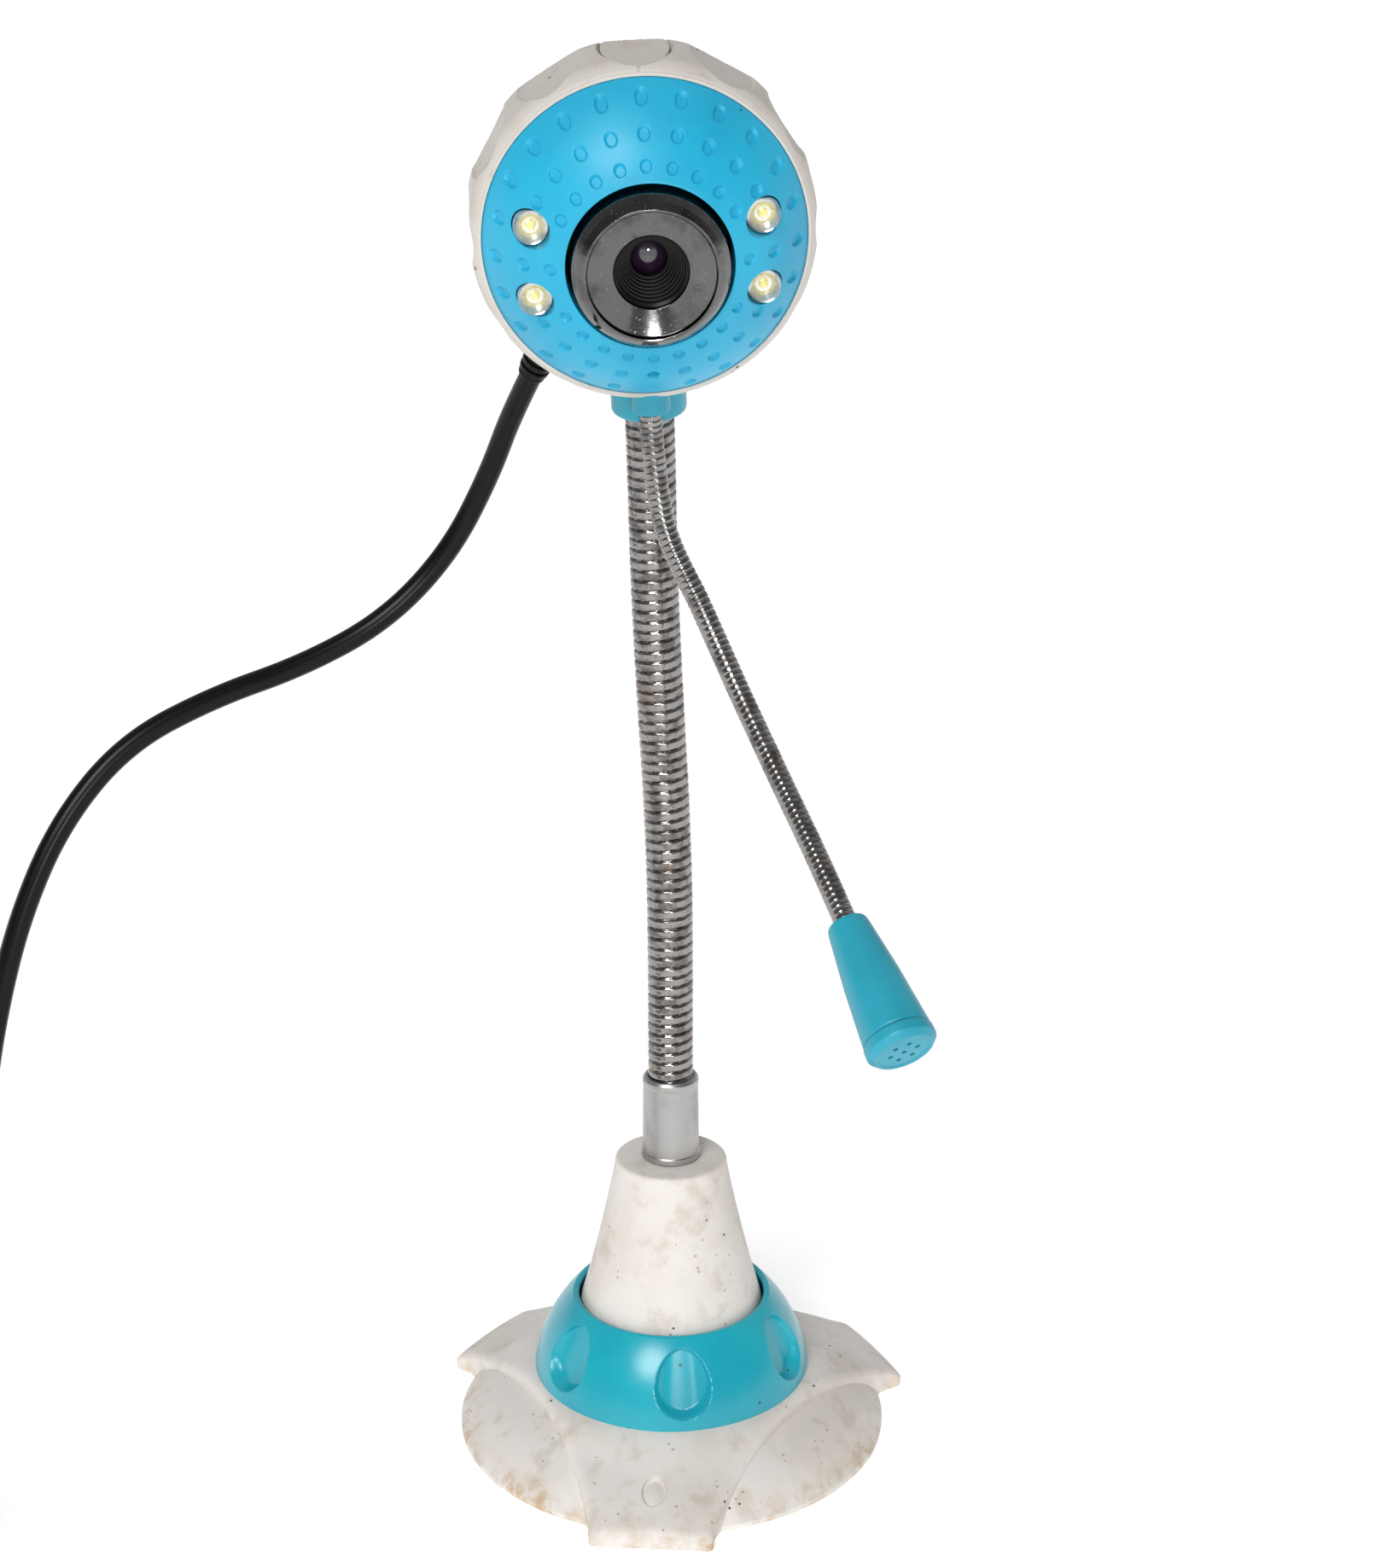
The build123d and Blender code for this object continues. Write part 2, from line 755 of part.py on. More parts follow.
def shell_body(inset):
    with BuildPart() as body:
        with BuildSketch(side_of(head_plane)) as half:
            with BuildLine():
                shell_outline(inset)
            make_face()
            corner = half.vertices().sort_by(Axis.X)[-1]
            fillet(corner, shell_corner - inset)
        revolve(axis=axis_of(head_plane))
    return body


button_middle = head_point(0, 0, -shell_scallop_back)
button_plane = Plane(
    origin=tuple(button_middle), x_dir=tuple(head_plane.x_dir), z_dir=tuple(head_plane.y_dir)
)
gland_vector = (
    head_plane.x_dir * gland_direction[0]
    + head_plane.y_dir * gland_direction[1]
    + head_plane.z_dir * gland_direction[2]
).normalized()
gland_radius_from_axis = sqrt(gland_place[0] ** 2 + gland_place[1] ** 2)
gland_depth = -(
    shell_depth
    - shell_corner
    + sqrt(shell_corner**2 - (gland_radius_from_axis - shell_back_radius + shell_corner) ** 2)
)
gland_base = head_point(gland_place[0], gland_place[1], gland_depth)
gland_plane = upright_plane(gland_base, gland_vector)
scallop_reach = shell_back_radius - 0.3 - shell_scallop_depth + shell_scallop_ball


def cut_scallops(only_top=False):
    """Shallow ball-cut scallops round the shell; the top one shapes the button."""
    for i in range(1 if only_top else shell_scallops):
        turn = radians(90 + i * 360 / shell_scallops)
        place = head_point(
            scallop_reach * cos(turn), scallop_reach * sin(turn), -shell_scallop_back
        )
        with Locations(tuple(place)):
            Sphere(shell_scallop_ball, mode=Mode.SUBTRACT)


with BuildPart() as rear_shell:
    add(shell_body(0).part)
    cut_scallops()
    add(shell_body(shell_wall).part, mode=Mode.SUBTRACT)
    # opening under the neck mount
    with BuildSketch(mount_section(cup_bottom)):
        with Locations((0, neck_behind_rim)):
            Circle(cup_radius + slip_gap)
        with Locations((0, neck_behind_rim / 2 - 1.0)):
            Rectangle(2 * (collar_radius + slip_gap), neck_behind_rim + 2.0)
    extrude(amount=cup_top - cup_bottom, mode=Mode.SUBTRACT)
    # opening for the snapshot button
    with BuildSketch(button_plane.offset(shell_back_radius - shell_wall - 3.5)):
        Ellipse(button_half_width + cap_gap, button_half_length + cap_gap)
    extrude(amount=shell_wall + 5, mode=Mode.SUBTRACT)
    # gland hole
    with BuildSketch(gland_plane.offset(-6)):
        Circle(lead_diameter / 2 + 0.6)
    extrude(amount=12, mode=Mode.SUBTRACT)
    # bosses for the camera board, with holes for its screws
    with BuildSketch(head_section(-shell_depth + shell_wall - 0.2)):
        with PolarLocations(board_screw_reach, 4, start_angle=45):
            Circle(boss_radius)
    extrude(amount=shell_depth - shell_wall + 0.2 + board_front - board_thickness)
    with BuildSketch(head_section(board_front - board_thickness)):
        with PolarLocations(board_screw_reach, 4, start_angle=45):
            Circle(screw_radius + running_gap)
    extrude(amount=-6.0, mode=Mode.SUBTRACT)
    # shelf that carries the switch board under the button, hung from the shell by two walls
    with BuildSketch(button_plane.offset(shelf_height)):
        Rectangle(2 * shelf_wall_reach + shelf_thickness, shelf_length)
    extrude(amount=shelf_thickness)
    with BuildSketch(button_plane.offset(shelf_height)):
        with Locations((-shelf_wall_reach, 0), (shelf_wall_reach, 0)):
            Rectangle(shelf_thickness, shelf_length)
    extrude(amount=shell_back_radius - shell_wall / 2 - shelf_height - 1.2)
save(rear_shell, "rear_shell")

# ================================================================ snapshot button and its switch
button_bottom = shell_back_radius - shell_scallop_depth - 0.3 - button_thickness
switch_top = button_bottom - button_travel - 0.15
with BuildPart() as snapshot_button:
    with BuildSketch(button_plane.offset(button_bottom)):
        Ellipse(button_half_width, button_half_length)
    extrude(amount=4.0)
    add(shell_body(0).part, mode=Mode.INTERSECT)
    cut_scallops(only_top=True)
save(snapshot_button, "snapshot_button")

with BuildPart() as switch_board:
    with BuildSketch(button_plane.offset(shelf_height + shelf_thickness)):
        Rectangle(2 * shelf_wall_reach - shelf_thickness - 0.3, shelf_length)
    extrude(amount=1.0)
save(switch_board, "switch_board")

switch_base = shelf_height + shelf_thickness + 1.0
with BuildPart() as snapshot_switch:
    with BuildSketch(button_plane.offset(switch_base)):
        Rectangle(6.0, 6.0)
    extrude(amount=2.6)
    with BuildSketch(button_plane.offset(switch_base + 2.6)):
        Circle(1.7)
    extrude(amount=switch_top - switch_base - 2.6)
save(snapshot_switch, "snapshot_switch")


# ================================================================ front dome
def ball_through(rim, mouth, height):
    """Radius and centre height of the ball that passes through the rim and the mouth."""
    centre = (mouth**2 + height**2 - rim**2) / (2 * height)
    return sqrt(rim**2 + centre**2), centre


dome_ball, dome_centre = ball_through(dome_rim_radius, dome_mouth_radius, dome_height)


def dome_height_over(radius):
    return sqrt(dome_ball**2 - radius**2) + dome_centre


inner_ball = dome_ball - dome_wall
inner_rim = sqrt(inner_ball**2 - dome_centre**2)
spigot_radius = shell_front_radius - shell_wall - slip_gap
with BuildPart() as front_dome:
    with BuildSketch(side_of(head_plane)):
        with BuildLine():
            middle_radius = (dome_rim_radius + dome_mouth_radius) / 2
            lip = dome_mouth_radius + 1.5
            inner_middle = (inner_rim + lip) / 2
            Line((inner_rim, 0), (spigot_radius - 1.2, -2.6))
            Line((spigot_radius - 1.2, -2.6), (spigot_radius, -2.6))
            Line((spigot_radius, -2.6), (spigot_radius, 0))
            Line((spigot_radius, 0), (dome_rim_radius, 0))
            ThreePointArc(
                (dome_rim_radius, 0),
                (middle_radius, dome_height_over(middle_radius)),
                (dome_mouth_radius, dome_height),
            )
            Line((dome_mouth_radius, dome_height), (dome_mouth_radius, dome_height - 6.0))
            Line((dome_mouth_radius, dome_height - 6.0), (lip, dome_height - 6.0))
            inner_lip = sqrt(inner_ball**2 - lip**2) + dome_centre
            Line((lip, dome_height - 6.0), (lip, inner_lip))
            ThreePointArc(
                (lip, inner_lip),
                (inner_middle, sqrt(inner_ball**2 - inner_middle**2) + dome_centre),
                (inner_rim, 0),
            )
        make_face()
    revolve(axis=axis_of(head_plane))
    # round LED holes
    with BuildSketch(head_plane):
        with GridLocations(2 * led_side, 2 * led_rise, 2, 2):
            Circle(led_radius + slip_gap)
    extrude(amount=dome_height, mode=Mode.SUBTRACT)
    # dimples, as short pins that reach just under the ball's surface
    with BuildPart(mode=Mode.PRIVATE) as pins:
        for ring_index, (reach, pin_radius) in enumerate(dome_dimple_rings):
            missing = (5, 7, 17, 19) if ring_index else ()
            for i in range(dimples_per_ring):
                if i in missing:
                    continue
                turn = radians(90 + i * 360 / dimples_per_ring)
                with BuildSketch(head_section(dome_height_over(reach) - 3.0)):
                    with Locations((reach * cos(turn), reach * sin(turn))):
                        Circle(pin_radius)
                extrude(amount=8.0)
        with Locations(tuple(head_point(0, 0, dome_centre))):
            Sphere(dome_ball - dome_dimple_depth, mode=Mode.SUBTRACT)
    add(pins.part, mode=Mode.SUBTRACT)
    # little hole for the status light
    status_place = (0, -dome_dimple_rings[1][0])
    with BuildSketch(head_plane):
        with Locations(status_place):
            Circle(0.6)
    extrude(amount=dome_height, mode=Mode.SUBTRACT)
    # the spigot is cut away over the neck mount
    with BuildSketch(mount_section(-spigot_radius - 1)):
        with Locations((0, 2.5)):
            Rectangle(2 * cup_radius + 1, 5.0)
    extrude(amount=5.5, mode=Mode.SUBTRACT)
save(front_dome, "front_dome")

with BuildPart() as status_light:
    with BuildSketch(head_section(board_front)):
        with Locations((0, -13.6)):
            Rectangle(1.6, 0.8)
    extrude(amount=0.7)
save(status_light, "status_light")

# ================================================================ LEDs
with BuildPart() as leds:
    with BuildSketch(head_section(dome_height_over(led_side + led_radius) - 6.4)):
        with GridLocations(2 * led_side, 2 * led_rise, 2, 2):
            Circle(led_flange_radius)
    extrude(amount=1.0)
    with BuildSketch(head_section(dome_height_over(led_side + led_radius) - 6.4)):
        with GridLocations(2 * led_side, 2 * led_rise, 2, 2):
            Circle(led_radius)
    extrude(amount=led_tip - led_radius - dome_height_over(led_side + led_radius) + 6.4)
    for across in (-led_side, led_side):
        for up in (-led_rise, led_rise):
            with Locations(tuple(head_point(across, up, led_tip - led_radius))):
                Sphere(led_radius)
save(leds, "leds")

led_base = dome_height_over(led_side + led_radius) - 6.4
with BuildPart() as led_legs:
    for side in (-1, 1):
        with BuildSketch(head_section(board_front)):
            with GridLocations(2 * led_side, 2 * led_rise, 2, 2):
                with Locations((1.27 * side, 0)):
                    Rectangle(0.5, 0.5)
        extrude(amount=led_base - board_front)
save(led_legs, "led_legs")

# ================================================================ lens group
focus_ring = turned(
    head_plane,
    (ring_bore_radius, ring_front - 2.0),
    (ring_face_radius, ring_front - 0.3),
    (ring_face_radius + 0.45, ring_front),
    (ring_outer_radius - 0.35, ring_front - 0.5),
    (ring_outer_radius, ring_front - 1.2),
    (ring_outer_radius, ring_back),
    (ring_face_radius, ring_back),
    (ring_face_radius, ring_front - 4.0),
    (ring_bore_radius, ring_front - 5.2),
)
save(focus_ring, "focus_ring")

barrel_front = ring_front - 3.4
barrel_back = -3.2
glass_back = ring_front - 10.2
lens_barrel = turned(
    head_plane,
    (ring_bore_radius - 0.5, barrel_front),
    (ring_bore_radius, barrel_front),
    (ring_bore_radius, ring_front - 7.6),
    (barrel_radius, ring_front - 8.2),
    (barrel_radius, barrel_back),
    (2.0, barrel_back),
    (2.0, glass_back),
    (glass_radius, glass_back),
    (glass_radius, glass_back + 2.8),
    (3.1, glass_back + 2.8),
    (3.1, glass_back + 4.0),
    (3.8, glass_back + 4.0),
    (3.8, glass_back + 5.2),
    (ring_bore_radius - 0.5, glass_back + 5.4),
)
save(lens_barrel, "lens_barrel")

with BuildPart() as lens_glass:
    with BuildSketch(side_of(head_plane)):
        with BuildLine():
            crown = glass_back + 2.7
            rim_height = crown - glass_bulge
            ball = (glass_radius**2 + glass_bulge**2) / (2 * glass_bulge)
            shoulder_height = crown - ball + sqrt(ball**2 - (glass_radius / 2) ** 2)
            Line((0, glass_back), (glass_radius, glass_back))
            Line((glass_radius, glass_back), (glass_radius, rim_height))
            ThreePointArc((glass_radius, rim_height), (glass_radius / 2, shoulder_height), (0, crown))
            Line((0, crown), (0, glass_back))
        make_face()
    revolve(axis=axis_of(head_plane))
save(lens_glass, "lens_glass")

holder_bore = barrel_radius + running_gap
with BuildPart() as lens_holder:
    with BuildSketch(head_section(board_front)):
        RectangleRounded(2 * holder_radius, 2 * holder_radius, 1.2)
    extrude(amount=3.0)
    with BuildSketch(head_section(board_front)):
        Circle(holder_radius - 0.4)
    extrude(amount=12.0)
    with BuildSketch(head_section(board_front + 4.4)):
        Circle(holder_bore)
    extrude(amount=12.0, mode=Mode.SUBTRACT)
    with BuildSketch(head_section(board_front)):
        Rectangle(8.6, 8.6)
    extrude(amount=2.4, mode=Mode.SUBTRACT)
    with BuildSketch(head_section(board_front + 2.4)):
        Rectangle(5.0, 5.0)
    extrude(amount=3.0, mode=Mode.SUBTRACT)
save(lens_holder, "lens_holder")

with BuildPart() as infrared_filter:
    with BuildSketch(head_section(board_front + 4.4)):
        Rectangle(7.0, 7.0)
    extrude(amount=0.3)
save(infrared_filter, "infrared_filter")

with BuildPart() as image_sensor:
    with BuildSketch(head_section(board_front)):
        Rectangle(7.6, 7.6)
    extrude(amount=0.9)
save(image_sensor, "image_sensor")

# ================================================================ camera board
with BuildPart() as camera_board:
    with BuildSketch(head_section(board_front)):
        Circle(board_radius)
        with PolarLocations(board_screw_reach, 4, start_angle=45):
            Circle(screw_radius + slip_gap, mode=Mode.SUBTRACT)
        # flat side under the button's shelf
        with Locations((0, shelf_height + board_radius - 0.6)):
            Rectangle(2 * board_radius, 2 * board_radius, mode=Mode.SUBTRACT)
    extrude(amount=-board_thickness)
save(camera_board, "camera_board")

with BuildPart() as usb_controller:
    with BuildSketch(head_section(board_front - board_thickness)):
        with Locations((4.0, 3.0)):
            Rectangle(7.0, 7.0)
    extrude(amount=-1.1)
save(usb_controller, "usb_controller")

board_screw_planes = []
for angle in (45, 135, 225, 315):
    place = head_point(
        board_screw_reach * cos(radians(angle)),
        board_screw_reach * sin(radians(angle)),
        board_front,
    )
    board_screw_planes.append(Plane(origin=tuple(place), z_dir=tuple(-head_plane.z_dir)))
board_screws = screw_at(board_screw_planes, board_thickness + 5.0)
save(board_screws, "board_screws")

# ================================================================ lead: gland, tube, coil and plug
lead_radius = lead_diameter / 2
cable_gland = turned(
    gland_plane,
    (lead_radius, -4.7),
    (lead_radius + 1.2, -4.7),
    (lead_radius + 1.2, -3.7),
    (lead_radius + 0.5, -3.7),
    (lead_radius + 0.5, 1.5),
    (gland_radius, 1.5),
    (gland_radius - 0.2, 3.0),
    (lead_radius + 0.55, gland_length),
    (lead_radius, gland_length),
)
save(cable_gland, "cable_gland")

coil_start = Vector(coil_centre[0] + entry_turn_radius, coil_centre[1] + coil_stub, lead_radius)
route = [along(gland_base, gland_vector, -3.0), along(gland_base, gland_vector, gland_length + 7.0)]
route += [Vector(*point) for point in lead_route]
route.append(coil_start)
print("gland exit", along(gland_base, gland_vector, gland_length))


def bend_radii(points):
    """Each corner's arc: as large as 0.45 of its shorter run allows."""
    radii = []
    for before, corner, after in zip(points, points[1:], points[2:]):
        turn = (corner - before).get_angle(after - corner)
        run = min((corner - before).length, (after - corner).length)
        radii.append(0.45 * run / tan(radians(turn / 2)))
    return radii


radii = bend_radii(route)
print("lead radii", [round(r, 1) for r in radii])
print("lead runs", [round((b - a).length, 1) for a, b in zip(route, route[1:])])
with BuildPart() as usb_lead:
    with BuildLine() as lead_path:
        FilletPolyline(*[tuple(p) for p in route], radius=radii)
    with BuildSketch(Plane(origin=tuple(route[0]), z_dir=tuple(route[1] - route[0]))):
        Circle(lead_radius)
    sweep()
save(usb_lead, "usb_lead")
lead_length = sum(edge.length for edge in lead_path.edges())
print("lead length", lead_length, "volume ratio", usb_lead.part.volume / (pi * lead_radius**2 * lead_length))

with BuildPart() as usb_lead_coil:
    with BuildSketch(Plane.XY):
        with Locations(coil_centre):
            Circle(coil_middle_radius + coil_width / 2)
            Circle(coil_middle_radius - coil_width / 2, mode=Mode.SUBTRACT)
    extrude(amount=coil_height)
    fillet(usb_lead_coil.edges().filter_by(GeomType.CIRCLE), 1.2)
    # the ends of the lead where they enter and leave the turns
    for across, height in ((entry_turn_radius, lead_radius), (-exit_turn_radius, plug_thickness / 2)):
        with BuildSketch(
            Plane(origin=(coil_centre[0] + across, coil_start.Y, height), z_dir=(0, -1, 0))
        ):
            Circle(lead_radius)
        extrude(amount=coil_stub)
save(usb_lead_coil, "usb_lead_coil")

tie_plane = Plane(
    origin=(coil_centre[0], coil_centre[1] - coil_middle_radius, coil_height / 2),
    x_dir=(0, 1, 0),
    z_dir=(1, 0, 0),
)
with BuildPart() as lead_tie:
    with BuildSketch(tie_plane):
        Rectangle(tie_opening + 2 * tie_thickness, coil_height)
        Rectangle(tie_opening, coil_height, mode=Mode.SUBTRACT)
    extrude(amount=tie_width / 2, both=True)
    with BuildSketch(tie_plane):
        with Locations((0, (coil_height + tie_thickness) / 2)):
            Rectangle(tie_opening + 2 * tie_thickness, tie_thickness)
    extrude(amount=tie_width / 2, both=True)
save(lead_tie, "lead_tie")

# ---- USB plug, lying on the surface beside the coil, at the end of the coil's second stub
plug_start = (coil_centre[0] - exit_turn_radius, coil_start.Y, plug_thickness / 2)
plug_plane = Plane(origin=plug_start, x_dir=(-1, 0, 0), z_dir=(0, 1, 0))
with BuildPart() as usb_plug:
    with BuildSketch(plug_plane.offset(plug_relief_length)):
        RectangleRounded(plug_width, plug_thickness, 2.0)
    extrude(amount=plug_length)
    with BuildSketch(plug_plane):
        Circle(lead_radius)
    with BuildSketch(plug_plane.offset(plug_relief_length)):
        Ellipse(4.4, 3.0)
    loft()
    with BuildSketch(plug_plane.offset(plug_relief_length + plug_length)):
        Rectangle(plug_shell_width, plug_shell_thickness)
    extrude(amount=-4.0, mode=Mode.SUBTRACT)
save(usb_plug, "usb_plug")

with BuildPart() as plug_shell:
    with BuildSketch(plug_plane.offset(plug_relief_length + plug_length - 4.0)):
        Rectangle(plug_shell_width, plug_shell_thickness)
        Rectangle(
            plug_shell_width - 2 * plug_shell_wall,
            plug_shell_thickness - 2 * plug_shell_wall,
            mode=Mode.SUBTRACT,
        )
    extrude(amount=plug_shell_length)
save(plug_shell, "plug_shell")

with BuildPart() as plug_tongue:
    with BuildSketch(plug_plane.offset(plug_relief_length + plug_length - 4.0)):
        with Locations((0, -(plug_shell_thickness / 2 - plug_shell_wall - 0.95))):
            Rectangle(plug_shell_width - 2 * plug_shell_wall, 1.9)
    extrude(amount=plug_shell_length - 0.6)
save(plug_tongue, "plug_tongue")
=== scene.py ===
"""A webcam on a flexible steel neck, with a weighted three-legged base and a microphone boom.

Pieces are made in millimetres in a frame of their own, and placed in the row frame, in metres.
"""
import json
from math import atan2, cos, hypot, pi, radians, sin, sqrt, tan

import bmesh
import bpy
from mathutils import Matrix, Vector


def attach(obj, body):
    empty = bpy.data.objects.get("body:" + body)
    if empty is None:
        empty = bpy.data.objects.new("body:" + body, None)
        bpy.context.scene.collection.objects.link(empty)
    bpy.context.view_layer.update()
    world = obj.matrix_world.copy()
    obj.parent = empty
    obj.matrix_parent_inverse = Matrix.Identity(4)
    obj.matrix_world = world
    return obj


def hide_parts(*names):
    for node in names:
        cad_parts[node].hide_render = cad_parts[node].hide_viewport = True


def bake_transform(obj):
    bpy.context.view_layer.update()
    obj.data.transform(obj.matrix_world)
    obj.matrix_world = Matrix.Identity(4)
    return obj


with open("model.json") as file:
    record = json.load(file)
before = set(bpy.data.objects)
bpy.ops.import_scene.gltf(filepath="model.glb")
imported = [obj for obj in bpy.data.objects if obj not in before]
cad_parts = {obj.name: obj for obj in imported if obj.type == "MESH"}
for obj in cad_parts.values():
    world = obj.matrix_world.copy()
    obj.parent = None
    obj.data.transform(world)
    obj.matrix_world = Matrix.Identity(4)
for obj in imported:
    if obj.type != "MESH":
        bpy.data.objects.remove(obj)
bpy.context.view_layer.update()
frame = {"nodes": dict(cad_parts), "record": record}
joints = {joint["name"]: joint for joint in frame["record"]["behaviour"]["joints"]}

MM = 0.001


# ================================================================ camera, lights and world
def placed(name, data):
    """A new object in the scene."""
    made = bpy.data.objects.new(name, data)
    bpy.context.scene.collection.objects.link(made)
    return made


def make_camera():
    """Level with the head, looking a little down, with the whole webcam in view."""
    lens = bpy.data.cameras.new("camera")
    lens.sensor_fit = "AUTO"
    lens.sensor_width = 36.0
    lens.lens = 55.85
    lens.clip_start = 0.01
    lens.clip_end = 80.0
    camera = placed("camera", lens)
    tilt_down = 17.2
    camera.location = (0.0038, -0.372, 0.2298)
    camera.rotation_euler = (radians(90 - tilt_down), 0, 0)
    bpy.context.scene.camera = camera


def make_lamp(name, kind, place, target, watts, **settings):
    """A lamp at a place, facing the target."""
    light = bpy.data.lights.new(name, kind)
    light.energy = watts
    for setting, value in settings.items():
        setattr(light, setting, value)
    lamp = placed(name, light)
    lamp.location = place
    lamp.rotation_mode = "QUATERNION"
    lamp.rotation_quaternion = (Vector(target) - Vector(place)).to_track_quat("-Z", "Y")


def make_world():
    """A dim room with a white wall all round at eye level."""
    world = bpy.data.worlds.new("studio")
    world.use_nodes = True
    tree = world.node_tree
    way = tree.nodes.new("ShaderNodeTexCoord").outputs["Generated"]
    apart = tree.nodes.new("ShaderNodeSeparateXYZ")
    ramp = tree.nodes.new("ShaderNodeValToRGB")
    shades = ((0.30, 0.42), (0.48, 0.95), (0.53, 0.95), (0.60, 0.34), (0.95, 0.46))
    stops = ramp.color_ramp.elements
    while len(stops) < len(shades):
        stops.new(0.5)
    for stop, (height, shade) in zip(stops, shades):
        stop.position = height
        stop.color = (shade, shade, shade, 1.0)
    height = tree.nodes.new("ShaderNodeMapRange")
    height.inputs["From Min"].default_value = -1.0
    front = tree.nodes.new("ShaderNodeMapRange")
    front.interpolation_type = "SMOOTHSTEP"
    front.inputs["From Min"].default_value = -0.25
    front.inputs["From Max"].default_value = 0.40
    front.inputs["To Min"].default_value = 0.40
    front.inputs["To Max"].default_value = 1.1
    tree.links.new(way, apart.inputs[0])
    tree.links.new(apart.outputs["Z"], height.inputs["Value"])
    tree.links.new(apart.outputs["Y"], front.inputs["Value"])
    tree.links.new(height.outputs[0], ramp.inputs[0])
    sky = tree.nodes["Background"]
    tree.links.new(ramp.outputs["Color"], sky.inputs["Color"])
    tree.links.new(front.outputs[0], sky.inputs["Strength"])
    bpy.context.scene.world = world


make_camera()
make_world()
make_lamp("flash", "SUN", (-0.35, -1.0, 0.85), (0, 0, 0), 1.7, angle=radians(26))
make_lamp("ring_light", "AREA", (0.05, -0.48, 0.184), (0, -0.03, 0.17), 0.45, shape="SQUARE", size=0.045)
bpy.context.scene.view_settings.view_transform = "Standard"


# ================================================================ finishes
class Feed:
    """A value in a finish. Python's own operators join values with Math nodes."""

    def __init__(self, finish, socket):
        self.finish = finish
        self.socket = socket

    def maths(self, operation, *others):
        sockets = dict(enumerate((self, *others)))
        return self.finish.node("ShaderNodeMath", {"operation": operation}, sockets)

    def __add__(self, other):
        return self.maths("ADD", other)

    __radd__ = __add__

    def __sub__(self, other):
        return self.maths("SUBTRACT", other)

    def __rsub__(self, other):
        flipped = self.maths("MULTIPLY", -1.0)
        return flipped.maths("ADD", other)

    def __mul__(self, other):
        return self.maths("MULTIPLY", other)

    __rmul__ = __mul__

    def __gt__(self, other):
        return self.maths("GREATER_THAN", other)

    def __lt__(self, other):
        return self.maths("LESS_THAN", other)


class Finish:
    """One material, made of nodes."""

    def __init__(self, name):
        self.material = bpy.data.materials.new(name)
        self.material.use_nodes = True
        self.tree = self.material.node_tree
        self.tree.nodes.clear()
        self.coordinates = self.node("ShaderNodeTexCoord", output="Object")
        apart = self.node("ShaderNodeSeparateXYZ", {}, {"Vector": self.coordinates}).socket.node
        self.x, self.y, self.z = (Feed(self, socket) for socket in apart.outputs)

    def node(self, kind, settings=None, sockets=None, output=0):
        """Adds a node, sets it up, fills its sockets with values or links, and gives one output."""
        made = self.tree.nodes.new(kind)
        for name, value in (settings or {}).items():
            setattr(made, name, value)
        for name, value in (sockets or {}).items():
            socket = made.inputs[name]
            if isinstance(value, Feed):
                self.tree.links.new(value.socket, socket)
            elif isinstance(value, tuple) and len(value) == 3 and socket.type == "RGBA":
                socket.default_value = (*value, 1.0)
            else:
                socket.default_value = value
        return Feed(self, made.outputs[output]) if made.outputs else None

    def noise(self, per_mm, detail=3.0, roughness=0.5, where=None):
        """Soft noise, from 0 to 1, with this many lumps to the millimetre."""
        sockets = {
            "Vector": where or self.coordinates,
            "Scale": per_mm / MM,
            "Detail": detail,
            "Roughness": roughness,
        }
        return self.node("ShaderNodeTexNoise", {}, sockets)

    def stretched(self, x, y, z):
        """Coordinates drawn out along an axis, for brushed or running marks."""
        return self.node(
            "ShaderNodeVectorMath",
            {"operation": "MULTIPLY"},
            {0: self.coordinates, 1: (x, y, z)},
        )

    def between(self, value, low, high):
        """0 below low, 1 above high, and smooth in between."""
        sockets = {"Value": value, "From Min": low, "From Max": high}
        return self.node("ShaderNodeMapRange", {"interpolation_type": "SMOOTHSTEP"}, sockets)

    def blend(self, amount, first, second):
        """One colour turning into another."""
        sockets = {"Factor": amount, 6: first, 7: second}
        return self.node("ShaderNodeMix", {"data_type": "RGBA"}, sockets, output=2)

    def specks(self, per_mm, share):
        """Small dark specks: 1 on a speck. share is how much of each cell they take."""
        cells = self.node(
            "ShaderNodeTexVoronoi", {}, {"Vector": self.coordinates, "Scale": per_mm / MM}
        )
        few = self.noise(per_mm * 0.35, 1.0) > 0.56
        return (cells < share) * few

    def bump(self, height, distance, strength=1.0, under=None):
        sockets = {"Height": height, "Distance": distance * MM, "Strength": strength}
        if under is not None:
            sockets["Normal"] = under
        return self.node("ShaderNodeBump", {}, sockets)

    def surface(self, **sockets):
        """Ends the finish: a Principled surface with these sockets, by their names with _ for spaces."""
        named = {name.replace("_", " "): value for name, value in sockets.items()}
        shader = self.node("ShaderNodeBsdfPrincipled", {}, named)
        self.node("ShaderNodeOutputMaterial", {}, {"Surface": shader})
        return self.material


